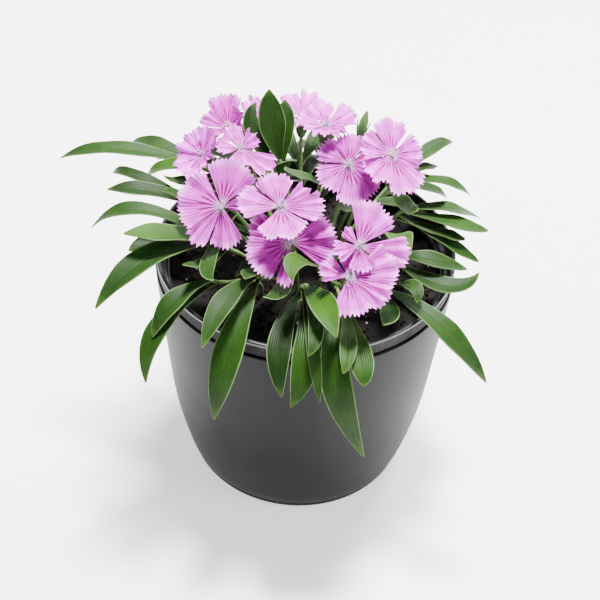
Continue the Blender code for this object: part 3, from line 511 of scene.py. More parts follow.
def bloom_solid(bloom):
    """The petals of a bloom, grown together round the flat middle of its throat, as one closed solid."""
    top, under, faces, border, throat = [], [], [], [], []
    for index in range(len(bloom.petals)):
        lines = []
        for row in petal_rows(bloom, index):
            lines.append(list(range(len(top), len(top) + len(row))))
            top += [point + normal * PETAL_THICKNESS / 2 for point, normal in row]
            under += [point - normal * PETAL_THICKNESS / 2 for point, normal in row]
        for near, far in zip(lines, lines[1:]):
            faces += stitch(near, far)
        throat += lines[0]
        border += [line[0] for line in lines[:-1]] + lines[-1] + [line[-1] for line in lines[-2::-1]]
    faces += [(throat[0], throat[i], throat[i + 1]) for i in range(1, len(throat) - 1)]
    size = len(top)
    faces += [(a + size, c + size, b + size) for a, b, c in faces]
    for a, b in zip(border, border[1:] + border[:1]):
        faces += [(a, a + size, b), (b, a + size, b + size)]
    turn = turned_to(bloom.facing)
    middle = Vector(bloom.centre)
    return [middle + turn @ point for point in top + under], faces


def turned_to(facing):
    """The turn that takes +Z to a facing."""
    return UP.rotation_difference(Vector(facing).normalized()).to_matrix()


def stem_solid(curve, kind):
    """A stem with the calyx that holds its bloom, or with a bud or a shoot's point at its end."""
    path = [Vector((curve[0].x, curve[0].y, SOIL_LEVEL - HOLE_DEPTH + SEAT_GAP))]
    path += [bezier(curve, step / STEM_STEPS) for step in range(STEM_STEPS + 1)]
    radii = [STEM_RADIUS] * len(path)
    ahead = (curve[-1] - curve[-2]).normalized()
    length, swell = STEM_ENDS[kind]
    for share, size in swell:
        path.append(curve[-1] + ahead * length * share)
        radii.append(CALYX_RADIUS * size)
    return tube(path, radii, STEM_SIDES)


def tree(solid):
    """The search tree of a solid given as points and faces."""
    points, faces = solid
    return BVHTree.FromPolygons(points, faces)


def clears_pots(solid):
    """Whether a solid keeps clear of the soil, the grow pot's collar and the planter's side."""
    points, faces = solid
    samples = list(points)
    for face in faces:
        a, b, c = (points[i] for i in face)
        samples += [(a + b) / 2, (b + c) / 2, (c + a) / 2, (a + b + c) / 3]
    inner = COLLAR_RADIUS - COLLAR_ROOM[0]
    outer = COLLAR_RADIUS + COLLAR_ROOM[1]
    side_room, edge_room = PLANTER_ROOM
    for point in samples:
        out = math.hypot(point.x, point.y)
        if out < inner and point.z < SOIL_LEVEL + SOIL_CROWN + SOIL_ROOM:
            return False
        if inner <= out < outer and point.z < POT_TOP + RIM_ROOM:
            return False
        if point.z < PLANTER_HEIGHT + edge_room and out < planter_outside(point.z) + side_room:
            return False
    return True


def clear_of(solid, owner, taken):
    """Whether a solid crosses nothing that belongs to another owner."""
    probe = tree(solid)
    return not any(name != owner and probe.overlap(other) for name, other in taken)


def place_flower(name, stem, taken):
    """Slide and turn a bloom, and sway its stem, until both clear the flowers placed before them."""
    bloom = BLOOMS[stem.bloom]
    facing = Vector(bloom.facing).normalized()
    for slide, turn, sway in FLOWER_TRIES:
        moved = bloom._replace(centre=tuple(Vector(bloom.centre) + facing * slide), turn=turn)
        petals = bloom_solid(moved)
        curve = stem_curve(stem, moved, sway)
        stalk = stem_solid(curve, "bloom")
        if clear_of(petals, name, taken) and clear_of(stalk, name, taken):
            break
    taken += [(name + "_bloom", tree(petals)), (name, tree(stalk))]
    return moved, curve


def outer_part(solid):
    """The part of a leaf past its first stretch, which may run into the leaves that share its stem."""
    points, faces = solid
    return points, [face for face in faces if min(face) >= BLADE_RING]


def place_leaf(name, leaf, curve, taken, own):
    """Bend, arch, roll or narrow a leaf a little until it clears the pots and what stands round it.

    Leaves of the same stem are kept apart too, past their roots, wherever that leaves a place.
    """
    base = bezier(curve, leaf.at)
    for neighbours in (own, []):
        for arch, bend, twist, narrow in LEAF_TRIES:
            course = Course(base, Vector(leaf.tip), leaf.width * narrow, leaf.arch + arch, leaf.bend + bend,
                            leaf.knee, twist)
            probe = blade(course, CLEARANCE)
            if not (clear_of(probe, name, taken) and clears_pots(probe)):
                continue
            solid = blade(course)
            outer = tree(outer_part(solid))
            if any(outer.overlap(other) for other in neighbours):
                continue
            taken.append((name, tree(solid)))
            own.append(outer)
            return course
    return None


def lay_out_plant():
    """Every bloom and stem, then the leaves, each bent clear of what is there already."""
    taken = []
    plant = Layout({}, {}, {})
    for number, stem in enumerate(STEMS, 1):
        name = f"leafy_stem_{number:02d}"
        if stem.bloom in BLOOMS:
            plant.blooms[stem.bloom], curve = place_flower(name, stem, taken)
        else:
            curve = stem_curve(stem, None)
            taken.append((name, tree(stem_solid(curve, stem.bloom or "shoot"))))
        plant.stems[name] = (stem, curve)
    for name, (stem, curve) in plant.stems.items():
        own = []
        leaves = [place_leaf(name, leaf, curve, taken, own) for leaf in stem.leaves]
        plant.leaves[name] = [leaf for leaf in leaves if leaf]
    return plant


class Wire:
    """A shader value or colour on its way from one node to the next; sums of values add Math nodes."""

    def __init__(self, bench, socket):
        self.bench = bench
        self.socket = socket

    def sum_node(self, operation, *values):
        node = self.bench.add("ShaderNodeMath", {"operation": operation}, dict(enumerate(values)))
        return Wire(self.bench, node.outputs[0])

    def __add__(self, other):
        return self.sum_node("ADD", self, other)

    def __sub__(self, other):
        return self.sum_node("SUBTRACT", self, other)

    def __rsub__(self, other):
        return self.sum_node("SUBTRACT", other, self)

    def __mul__(self, other):
        return self.sum_node("MULTIPLY", self, other)

    def __truediv__(self, other):
        return self.sum_node("DIVIDE", self, other)

    def __pow__(self, other):
        return self.sum_node("POWER", self, other)

    def __abs__(self):
        return self.sum_node("ABSOLUTE", self)

    __radd__ = __add__
    __rmul__ = __mul__

    def rise(self, low, high):
        """0 below low, 1 above high, smooth between; low may be the larger."""
        settings = {"interpolation_type": "SMOOTHSTEP"}
        flip = low > high
        ends = {"From Min": min(low, high), "From Max": max(low, high), "Value": self}
        ends.update({"To Min": 1.0, "To Max": 0.0} if flip else {"To Min": 0.0, "To Max": 1.0})
        return Wire(self.bench, self.bench.add("ShaderNodeMapRange", settings, ends).outputs[0])

    def sine(self):
        return self.sum_node("SINE", self)


class Finish:
    """A material in the making, with one method that adds any node."""

    def __init__(self, name, roughness=0.5, **plain):
        self.material = bpy.data.materials.new(name)
        self.material.use_nodes = True
        self.tree = self.material.node_tree
        self.shader = self.tree.nodes["Principled BSDF"]
        self.shader.inputs["Roughness"].default_value = roughness
        for socket, value in plain.items():
            self.shader.inputs[socket.replace("_", " ")].default_value = value

    def add(self, kind, settings=None, sockets=None):
        """Add a node: first its settings, then the values or links of its sockets."""
        node = self.tree.nodes.new(kind)
        for key, value in (settings or {}).items():
            setattr(node, key, value)
        for key, value in (sockets or {}).items():
            socket = node.inputs[key]
            if isinstance(value, Wire):
                self.tree.links.new(value.socket, socket)
            else:
                socket.default_value = value
        return node

    def place(self):
        """Object coordinates in metres."""
        return Wire(self, self.add("ShaderNodeTexCoord").outputs["Object"])

    def uv(self):
        """The two numbers of the UV map: across and along a leaf or petal."""
        split = self.add("ShaderNodeSeparateXYZ", {}, {0: Wire(self, self.add("ShaderNodeTexCoord").outputs["UV"])})
        return Wire(self, split.outputs[0]), Wire(self, split.outputs[1])

    def attribute(self, name):
        node = self.add("ShaderNodeAttribute", {"attribute_name": name})
        return Wire(self, node.outputs["Fac"])

    def scaled(self, vector, scale):
        """A vector stretched along each axis."""
        node = self.add("ShaderNodeVectorMath", {"operation": "MULTIPLY"}, {0: vector, 1: scale})
        return Wire(self, node.outputs[0])

    def joined(self, x, y, z):
        node = self.add("ShaderNodeCombineXYZ", {}, {0: x, 1: y, 2: z})
        return Wire(self, node.outputs[0])

    def noise(self, vector, scale, detail=4.0, roughness=0.55, distortion=0.0):
        node = self.add("ShaderNodeTexNoise", {}, {"Vector": vector, "Scale": scale, "Detail": detail,
                                                   "Roughness": roughness, "Distortion": distortion})
        return Wire(self, node.outputs[0])

    def cells(self, vector, scale):
        node = self.add("ShaderNodeTexVoronoi", {}, {"Vector": vector, "Scale": scale})
        return Wire(self, node.outputs[0])

    def mix(self, share, first, second):
        """A colour between two colours."""
        first = first if isinstance(first, Wire) else (*first, 1.0)
        second = second if isinstance(second, Wire) else (*second, 1.0)
        node = self.add("ShaderNodeMix", {"data_type": "RGBA"}, {0: share, 6: first, 7: second})
        return Wire(self, node.outputs[2])

    def paint(self, colour=None, roughness=None, height=None, depth=0.0002, coat=None):
        """Link the finished colour, roughness, coat and bump."""
        if colour:
            self.tree.links.new(colour.socket, self.shader.inputs["Base Color"])
        if roughness:
            self.tree.links.new(roughness.socket, self.shader.inputs["Roughness"])
        if coat:
            self.tree.links.new(coat.socket, self.shader.inputs["Coat Weight"])
        if height:
            bump = self.add("ShaderNodeBump", {}, {"Strength": 1.0, "Distance": depth, "Height": height})
            self.tree.links.new(bump.outputs[0], self.shader.inputs["Normal"])
        return self.material


def leaf_finish():
    """Satin green blades: parallel veins, a pale midrib, a thin pale edge and a purplish root."""
    leaf = Finish("leaf_green", Specular_IOR_Level=0.13, Subsurface_Weight=0.04, Subsurface_Scale=0.004,
                  Subsurface_Radius=(0.4, 1.0, 0.2))
    across, along = leaf.uv()
    tone = leaf.attribute("tone")
    under = leaf.attribute("under")
    spot = leaf.place()
    patches = leaf.noise(spot, 60.0, 3.0)
    mottle = leaf.noise(spot, 420.0, 4.0, 0.6)
    streak = leaf.noise(leaf.joined(across * 26.0, along * 2.2, tone * 9.0), 1.0, 3.0)
    veins = (across * (2 * math.pi * 11)).sine() * 0.5 + 0.5
    middle = abs(across - 0.5)
    midrib = middle.rise(0.030, 0.0)
    edge = middle.rise(0.462, 0.490)
    green = leaf.mix(tone, (0.0020, 0.0075, 0.0008), (0.0300, 0.0900, 0.0050))
    green = leaf.mix(patches.rise(0.35, 0.72) * 0.65, green, (0.0040, 0.0170, 0.0020))
    green = leaf.mix(streak.rise(0.40, 0.70) * 0.35, green, (0.0110, 0.0360, 0.0035))
    green = leaf.mix(mottle.rise(0.48, 0.75) * 0.14, green, (0.0350, 0.0850, 0.0150))
    green = leaf.mix(veins * 0.14, green, (0.0015, 0.0070, 0.0010))
    green = leaf.mix(midrib * 0.22, green, (0.0500, 0.1150, 0.0200))
    green = leaf.mix(along.rise(0.88, 1.0) * 0.50, green, (0.0650, 0.1250, 0.0130))
    green = leaf.mix(along.rise(0.16, 0.0) * 0.50, green, (0.0400, 0.0420, 0.0160))
    green = leaf.mix(under * 0.50, green, (0.0280, 0.0650, 0.0200))
    green = leaf.mix(edge * 0.55, green, (0.2000, 0.2900, 0.1100))
    rough = 0.36 + mottle * 0.22 + under * 0.2
    height = veins * 0.35 + mottle * 0.35 - midrib * 0.9
    return leaf.paint(green, rough, height, 0.00022)


def petal_finish():
    """Lilac pink: pale toothed edge, magenta streaks out of the throat, fine veins and a grey-white eye."""
    petal = Finish("petal_pink", Specular_IOR_Level=0.15, Subsurface_Weight=0.06, Subsurface_Scale=0.003,
                   Subsurface_Radius=(1.0, 0.35, 0.8))
    across, along = petal.uv()
    pale = petal.attribute("tone")
    under = petal.attribute("under")
    spot = petal.place()
    side = across - 0.5
    wander = petal.noise(petal.joined(across * 7.0, along * 2.0, pale * 5.0), 1.0, 2.0) - 0.5
    veins = petal.noise(petal.joined(across * 58.0, along * 3.0, pale * 7.0), 1.0, 4.0, 0.6, 0.4)
    speck = petal.noise(spot, 1500.0, 3.0, 0.7)
    cloud = petal.noise(spot, 120.0, 3.0)
    rays = (side * (2 * math.pi * 5.5) + wander * 1.8).sine() * 0.5 + 0.5
    reach = 0.56 - abs(side) * 0.30 + wander * 0.24
    fade = (along - reach).rise(0.12, -0.14)
    streaks = rays.rise(0.52, 0.80) * fade * along.rise(0.08, 0.16)
    pink = petal.mix(pale, (0.400, 0.003, 0.330), (0.980, 0.080, 0.970))
    pink = petal.mix(cloud.rise(0.42, 0.72) * 0.40, pink, (0.480, 0.020, 0.430))
    pink = petal.mix(veins.rise(0.50, 0.66) * 0.50, pink, (0.330, 0.006, 0.280))
    pink = petal.mix(veins.rise(0.46, 0.34) * 0.40, pink, (0.980, 0.190, 0.980))
    pink = petal.mix(speck.rise(0.56, 0.74) * 0.35, pink, (0.960, 0.180, 0.960))
    pink = petal.mix(along.rise(0.74, 1.0) * 0.60, pink, (0.990, 0.300, 0.990))
    pink = petal.mix(along.rise(0.26, 0.12) * 0.70, pink, (0.620, 0.380, 0.640))
    pink = petal.mix(streaks, pink, (0.150, 0.001, 0.080))
    pink = petal.mix(along.rise(0.10, 0.05) * 0.75, pink, (0.110, 0.120, 0.070))
    pink = petal.mix(under * 0.70, pink, (0.420, 0.012, 0.250))
    rough = 0.60 + speck * 0.2
    height = veins * 0.8 + speck * 0.25 + rays * fade * 0.3
    return petal.paint(pink, rough, height, 0.00030)


def stalk_finish():
    """Smooth pale green stalks with a purplish flush in random patches."""
    stalk = Finish("stalk_green", Specular_IOR_Level=0.4, Subsurface_Weight=0.05, Subsurface_Scale=0.003)
    spot = stalk.place()
    lines = stalk.noise(stalk.scaled(spot, (900.0, 900.0, 60.0)), 1.0, 3.0)
    flush = stalk.noise(spot, 90.0, 3.0)
    green = stalk.mix(lines, (0.075, 0.170, 0.040), (0.150, 0.270, 0.080))
    green = stalk.mix(flush.rise(0.52, 0.75) * 0.6, green, (0.150, 0.075, 0.060))
    return stalk.paint(green, 0.42 + lines * 0.2, lines, 0.00012)


def calyx_finish():
    """Ribbed green calyxes and bracts, tinged with red towards their points."""
    calyx = Finish("calyx_green", Specular_IOR_Level=0.35, Subsurface_Weight=0.05, Subsurface_Scale=0.003)
    across, along = calyx.uv()
    spot = calyx.place()
    ribs = (across * (2 * math.pi * 20)).sine() * 0.5 + 0.5
    flush = calyx.noise(spot, 240.0, 3.0)
    green = calyx.mix(ribs * 0.6, (0.045, 0.125, 0.025), (0.110, 0.240, 0.060))
    green = calyx.mix(along.rise(0.55, 1.0) * 0.6 * flush.rise(0.3, 0.6), green, (0.180, 0.050, 0.060))
    return calyx.paint(green, 0.45 + flush * 0.2, ribs, 0.0002)


def planter_finish():
    """Smooth moulded plastic with a matte dark grey coat, a fine grain and faint handling marks."""
    grey = Finish("planter_grey", Specular_IOR_Level=0.10)
    spot = grey.place()
    grain = grey.noise(spot, 2600.0, 3.0, 0.6)
    cloud = grey.noise(spot, 26.0, 4.0, 0.6)
    flow = grey.noise(grey.scaled(spot, (160.0, 160.0, 14.0)), 1.0, 4.0, 0.6)
    scuff = grey.noise(grey.scaled(spot, (90.0, 90.0, 500.0)), 1.0, 5.0, 0.75, 0.6)
    marks = scuff.rise(0.66, 0.78)
    colour = grey.mix(cloud.rise(0.3, 0.75) * 0.7, (0.0050, 0.0050, 0.0052), (0.0085, 0.0085, 0.0088))
    colour = grey.mix(flow.rise(0.5, 0.8) * 0.30, colour, (0.0130, 0.0130, 0.0134))
    colour = grey.mix(marks * 0.30, colour, (0.0400, 0.0400, 0.0410))
    rough = 0.40 + cloud * 0.12 + grain * 0.06 + marks * 0.12
    return grey.paint(colour, rough, grain * 0.7 + flow * 0.5, 0.00006)


def grow_pot_finish():
    """Thin glossy black plastic, a little dusty in patches."""
    black = Finish("grow_pot_black", Specular_IOR_Level=0.5)
    spot = black.place()
    dust = black.noise(spot, 180.0, 5.0, 0.65)
    grain = black.noise(spot, 1400.0, 3.0)
    streak = black.noise(black.scaled(spot, (40.0, 40.0, 900.0)), 1.0, 4.0)
    colour = black.mix(dust.rise(0.52, 0.80) * 0.5, (0.006, 0.006, 0.007), (0.040, 0.036, 0.034))
    rough = 0.20 + dust * 0.20 + streak * 0.10
    return black.paint(colour, rough, grain * 0.6 + streak * 0.5, 0.00006)


def soil_finish(name, deep, light):
    """Peat: dark crumbs with paler fibres and specks."""
    soil = Finish(name, Specular_IOR_Level=0.2)
    spot = soil.place()
    clumps = soil.noise(spot, 130.0, 6.0, 0.7)
    fibres = soil.noise(soil.scaled(spot, (900.0, 260.0, 600.0)), 1.0, 4.0, 0.7, 1.2)
    specks = soil.cells(spot, 620.0)
    colour = soil.mix(clumps.rise(0.3, 0.7), deep, light)
    colour = soil.mix(fibres.rise(0.62, 0.75) * 0.5, colour, (0.0240, 0.0140, 0.0080))
    colour = soil.mix(specks.rise(0.13, 0.05) * 0.35, colour, (0.0380, 0.0280, 0.0200))
    return soil.paint(colour, 0.82 + clumps * 0.15, clumps + fibres * 0.4, 0.0009)


def perlite_finish():
    """Pale, porous grains in the peat."""
    grain = Finish("perlite_pale", Specular_IOR_Level=0.3)
    pores = grain.cells(grain.place(), 2600.0)
    colour = grain.mix(pores.rise(0.0, 0.5), (0.150, 0.130, 0.110), (0.420, 0.400, 0.370))
    return grain.paint(colour, 0.8 + pores * 0.1, pores, 0.0002)


def style_finish():
    """Curled pale styles and the dusky tips of the stamens."""
    style = Finish("style_pale", Specular_IOR_Level=0.3, Subsurface_Weight=0.1, Subsurface_Scale=0.002)
    across, along = style.uv()
    grain = style.noise(style.place(), 2500.0, 2.0)
    colour = style.mix(grain, (0.300, 0.220, 0.330), (0.560, 0.480, 0.600))
    colour = style.mix(along.rise(0.86, 0.92) * 0.75, colour, (0.260, 0.170, 0.300))
    return style.paint(colour, 0.5 + grain * 0.2, grain, 0.0001)


class Shape:
    """Points, faces, UVs and finishes of a piece in the making, in millimetres."""

    def __init__(self):
        self.points = []
        self.faces = []
        self.maps = []
        self.slots = []
        self.tones = []
        self.unders = []

    def grid(self, rows, maps, finish, tone=0.5, under=0.0, closed=False):
        """Add rows of points as a sheet of quads; closed joins each row's end to its start."""
        start = len(self.points)
        width = len(rows[0])
        for row, marks in zip(rows, maps):
            self.points += row
            self.maps += marks
        self.tones += [tone] * (len(self.points) - start)
        self.unders += [under] * (len(self.points) - start)
        turns = width if closed else width - 1
        for r in range(len(rows) - 1):
            for c in range(turns):
                d = (c + 1) % width
                self.faces.append((start + r * width + c, start + r * width + d,
                                   start + (r + 1) * width + d, start + (r + 1) * width + c))
                self.slots.append(finish)
        return start

    def sheet(self, rows, normals, maps, thickness, finish, tone):
        """Add a closed thin sheet: its upper side, its under side and the rim that joins them."""
        half = thickness / 2
        upper = [[p + n * half for p, n in zip(row, side)] for row, side in zip(rows, normals)]
        lower = [[p - n * half for p, n in zip(row, side)][::-1] for row, side in zip(rows, normals)]
        top = self.grid(upper, maps, finish, tone)
        back = self.grid(lower, [row[::-1] for row in maps], finish, tone, 1.0)
        width = len(rows[0])
        last = len(rows) - 1
        ring = [(0, c) for c in range(width)] + [(r, width - 1) for r in range(1, last + 1)]
        ring += [(last, c) for c in range(width - 2, -1, -1)] + [(r, 0) for r in range(last - 1, 0, -1)]
        for (r, c), (s, d) in zip(ring, ring[1:] + ring[:1]):
            a, b = top + r * width + c, top + s * width + d
            e, f = back + r * width + width - 1 - c, back + s * width + width - 1 - d
            self.faces.append((b, a, e, f))
            self.slots.append(finish)

    def rod(self, path, radii, sides, finish, tone=0.5, ridge=0.0):
        """Add a closed tube along a path; ridge lifts every second side."""
        rows, maps = [], []
        for index, middle in enumerate(path):
            ahead = path[min(index + 1, len(path) - 1)] - path[max(index - 1, 0)]
            across = ahead.cross(Vector((0.3, 1, 0.1))).normalized()
            other = ahead.cross(across).normalized()
            row = []
            for side in range(sides):
                angle = 2 * math.pi * side / sides
                out = radii[index] * (1 + ridge * (side % 2))
                row.append(middle - (across * math.cos(angle) + other * math.sin(angle)) * out)
            rows.append(row)
            maps.append([(side / sides, index / (len(path) - 1)) for side in range(sides)])
        start = self.grid(rows, maps, finish, tone, closed=True)
        end = start + (len(path) - 1) * sides
        self.faces += [tuple(start + i for i in reversed(range(sides))), tuple(end + i for i in range(sides))]
        self.slots += [finish, finish]

    def piece(self, name, finishes):
        """Make the object, smooth all over, with its faces pointing out."""
        mesh = bpy.data.meshes.new(name)
        mesh.from_pydata([p * MM for p in self.points], [], self.faces)
        for finish in finishes:
            mesh.materials.append(finish)
        mesh.polygons.foreach_set("material_index", self.slots)
        for label, values in (("tone", self.tones), ("under", self.unders)):
            layer = mesh.attributes.new(label, "FLOAT", "POINT")
            layer.data.foreach_set("value", values)
        uv = mesh.uv_layers.new(name="UVMap")
        spread = [n for loop in mesh.loops for n in self.maps[loop.vertex_index]]
        uv.data.foreach_set("uv", spread)
        work = bmesh.new()
        work.from_mesh(mesh)
        bmesh.ops.recalc_face_normals(work, faces=work.faces)
        work.to_mesh(mesh)
        work.free()
        mesh.shade_smooth()
        mesh.set_sharp_from_angle(angle=math.radians(50))
        obj = bpy.data.objects.new(name, mesh)
        bpy.context.scene.collection.objects.link(obj)
        return obj


def finished(piece, slot, *nodes):
    """Tie a finished piece to the plant's one body and hide the solids that it stands for; its slot is not used."""
    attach(piece, "root")
    if nodes:
        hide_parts(*nodes)


def fine_leaf(shape, course, tone, draw):
    """A leaf on the solid one's course: a rounded fold, a rippled edge, a drawn-out tip."""
    phase = draw.uniform(0, 6.28)
    waves = draw.uniform(1.6, 2.8)
    lean = draw.uniform(-0.06, 0.06)
    rows, normals, maps = [], [], []
    for step in range(FINE_STEPS + 1):
        share = step / FINE_STEPS
        middle, across, normal, half = leaf_section(course, share)
        half *= LEAF_SLIMNESS - LEAF_TAPER * max(0.0, (share - 0.5) / 0.5) ** 1.5
        half = max(half, LEAF_END + (LEAF_SHEATH - LEAF_END) * (1 - share) ** 6)
        fold = LEAF_FOLD[0] - LEAF_FOLD[1] * share
        row, side, marks = [], [], []
        for column in range(FINE_ACROSS + 1):
            f = 2 * column / FINE_ACROSS - 1
            ripple = EDGE_RIPPLE * math.sin(phase + waves * 6.28 * share + 1.3 * f) * f * f
            rise = fold * half * abs(f) ** 1.35 + ripple * math.sin(math.pi * share)
            row.append(middle + across * half * (f + lean * (1 - f * f)) + normal * rise)
            slope = -1.35 * fold * math.copysign(abs(f) ** 0.35, f)
            side.append((normal + across * slope).normalized())
            marks.append((column / FINE_ACROSS, share))
        rows.append(row)
        normals.append(side)
        maps.append(marks)
    shape.sheet(rows, normals, maps, FINE_BLADE, 0, tone)


def petal_overlaps(bloom, index):
    """How far a fine petal is spread over its right and its left neighbour, in degrees."""
    petals = bloom.petals
    petal = petals[index]
    reaches = []
    for other, way in ((petals[index - 1], -1), (petals[(index + 1) % len(petals)], 1)):
        apart = (other.heading - petal.heading) * way % 360
        gap = apart - petal.spread - other.spread
        reaches.append(min(gap / 2, PETAL_REACH) + PETAL_OVERLAP)
    return reaches


def fine_petal(shape, bloom, index, tone, draw):
    """A petal on the solid one's surface, crimped along its veins and cut into uneven teeth."""
    petal = bloom.petals[index]
    teeth = max(5, round(petal.spread * petal.length / FRINGE_SPACING))
    columns = 4 * teeth
    cuts = [draw.uniform(0.35, 1.0) for _ in range(teeth + 1)]
    crimp = draw.uniform(0, 6.28)
    reaches = petal_overlaps(bloom, index)
    rows, normals, maps = [], [], []
    for share in PETAL_ROWS_FINE:
        row, side, marks = [], [], []
        for column in range(columns + 1):
            across = 2 * column / columns - 1
            tooth, part = divmod(column, 4)
            notch = cuts[min(tooth + (part > 2), teeth)] * abs(part - 2) / 2
            point, normal = petal_point(bloom, index, across, share, reaches[across > 0])
            out = Vector((point.x, point.y, 0)).normalized()
            point = point - out * FRINGE_DEPTH * notch * max(0.0, (share - 0.80) / 0.20) ** 1.5
            ripple = 0.20 * math.sin(across * teeth * 3.1 + crimp) * share
            ripple += 0.85 * math.sin(across * 7 + crimp) * share ** 3
            row.append(point + normal * ripple)
            side.append(normal)
            marks.append(((across + 1) / 2, share))
        rows.append(row)
        normals.append(side)
        maps.append(marks)
    turn = turned_to(bloom.facing)
    middle = Vector(bloom.centre)
    rows = [[middle + turn @ p for p in row] for row in rows]
    normals = [[turn @ n for n in row] for row in normals]
    shape.sheet(rows, normals, maps, PETAL_SHEET, 0, tone)


def bloom_middle(shape, bloom, draw):
    """The closed throat, two or three curled styles and the stamens round them."""
    turn = turned_to(bloom.facing)
    middle = Vector(bloom.centre)

    def out(x, y, z):
        return middle + turn @ Vector((x, y, z))
    reach = max(petal.length for petal in bloom.petals) / 21
    shape.rod([out(0, 0, -0.4), out(0, 0, 0.2), out(0, 0, 0.7)], [1.0 * reach, 1.1 * reach, 0.5 * reach], 12, 1)
    for number in range(3):
        start = draw.uniform(0, 6.28)
        lean = draw.uniform(1.6, 3.2) * reach
        tall = draw.uniform(2.4, 4.0) * reach
        path = []
        for step in range(9):
            s = step / 8
            angle = start + 2.6 * s * s
            path.append(out(lean * s * math.cos(angle), lean * s * math.sin(angle), tall * math.sin(2.0 * s)))
        shape.rod(path, [0.30 - 0.16 * step / 8 for step in range(9)], 6, 1)
    for number in range(6):
        angle = number * 1.047 + draw.uniform(-0.3, 0.3)
        lean = draw.uniform(1.2, 2.2) * reach
        tall = draw.uniform(1.2, 2.6) * reach
        path = [out(lean * s * math.cos(angle), lean * s * math.sin(angle), tall * s) for s in (0, 0.35, 0.7, 0.88, 0.94, 1)]
        shape.rod(path, [0.14, 0.12, 0.11, 0.12, 0.36, 0.20], 6, 1)


def make_blooms(placed):
    """Each bloom as one piece in place of its solid."""
    petal, style = petal_finish(), style_finish()
    for number, (name, bloom) in enumerate(placed.items()):
        draw = random.Random(100 + number)
        shape = Shape()
        for index in range(len(bloom.petals)):
            fine_petal(shape, bloom, index, BLOOM_TINTS[name], draw)
        bloom_middle(shape, bloom, draw)
        finished(shape.piece("petals_" + name, [petal, style]), "petal", "bloom_" + name)


def fine_stalk(shape, curve, kind, draw):
    """The stalk with three knots along it, then the calyx with its bracts or the bud with its bracts; a shoot's stalk
    just ends.
    """
    ahead = (curve[-1] - curve[-2]).normalized()
    path = [Vector((curve[0].x, curve[0].y, SOIL_LEVEL - HOLE_DEPTH + SEAT_GAP))]
    path += [bezier(curve, step / STALK_STEPS) for step in range(STALK_STEPS + 1)]
    knots = (0.3, 0.55, 0.78)
    radii = [0.95]
    for step in range(STALK_STEPS + 1):
        share = step / STALK_STEPS
        swell = max(math.exp(-((share - knot) / 0.03) ** 2) for knot in knots)
        radii.append(0.88 + 0.30 * swell)
    shape.rod(path, radii, STALK_SIDES, 1)
    end = curve[-1]
    length, _ = STEM_ENDS[kind]
    if kind == "shoot":
        return
    if kind == "bloom":
        outline = ((-0.06, 0.30), (0.02, 0.62), (0.12, 0.86), (0.35, 0.96), (0.7, 1.0), (0.93, 0.96), (1.0, 0.90))
    else:
        outline = ((-0.06, 0.30), (0.02, 0.62), (0.15, 0.92), (0.4, 1.0), (0.62, 0.92), (0.8, 0.66), (0.93, 0.34), (1.0, 0.12))
    cup = [end + ahead * length * share for share, _ in outline]
    shape.rod(cup, [CALYX_RADIUS * size for _, size in outline], CALYX_SIDES, 2, ridge=0.05)
    side = ahead.cross(Vector((0.2, 1, 0.3))).normalized()
    other = ahead.cross(side)
    for number in range(4):
        angle = number * math.pi / 2 + draw.uniform(-0.2, 0.2)
        out = side * math.cos(angle) + other * math.sin(angle)
        round_it = ahead.cross(out)
        rows, normals, maps = [], [], []
        for step in range(6):
            s = step / 5
            half = 1.15 * math.sin(math.pi * min(s * 0.9 + 0.1, 1.0)) ** 0.8 * (1 - 0.55 * s) + 0.08
            middle = end + ahead * length * (0.02 + 0.62 * s) + out * (CALYX_RADIUS * (0.70 + 0.42 * min(1, 2.2 * s)) + 0.9 * s * s)
            rows.append([middle + round_it * half * f - out * 0.35 * f * f for f in (-1, -0.5, 0, 0.5, 1)])
            normals.append([out] * 5)
            maps.append([((f + 1) / 2, s) for f in (-1, -0.5, 0, 0.5, 1)])
        shape.sheet(rows, normals, maps, 0.25, 2, 0.5)


def make_leafy_stems(stems, courses):
    """Each leafy stem as one piece in place of its solid."""
    leaf, stalk, calyx = leaf_finish(), stalk_finish(), calyx_finish()
    for number, (name, (stem, curve)) in enumerate(stems.items(), 1):
        draw = random.Random(number)
        shape = Shape()
        for place, course in enumerate(courses[name]):
            tone = LEAF_TONES.get((number, place), draw.uniform(0.12, 0.6))
            fine_leaf(shape, course, tone, draw)
        kind = "bloom" if stem.bloom in BLOOMS else stem.bloom or "shoot"
        fine_stalk(shape, curve, kind, draw)
        finished(shape.piece("leaves_" + name[-2:], [leaf, stalk, calyx]), "leaf", name)


def smooth_profile(points, steps):
    """Points along a smooth curve through a profile's own points."""
    row = [points[0], *points, points[-1]]
    out = []
    for a, b, c, d in zip(row, row[1:], row[2:], row[3:]):
        for step in range(steps):
            t = step / steps
            out.append(tuple(0.5 * (2 * q + (r - p) * t + (2 * p - 5 * q + 4 * r - s) * t * t
                                    + (3 * q - p - 3 * r + s) * t ** 3) for p, q, r, s in zip(a, b, c, d)))
    return out + [points[-1]]


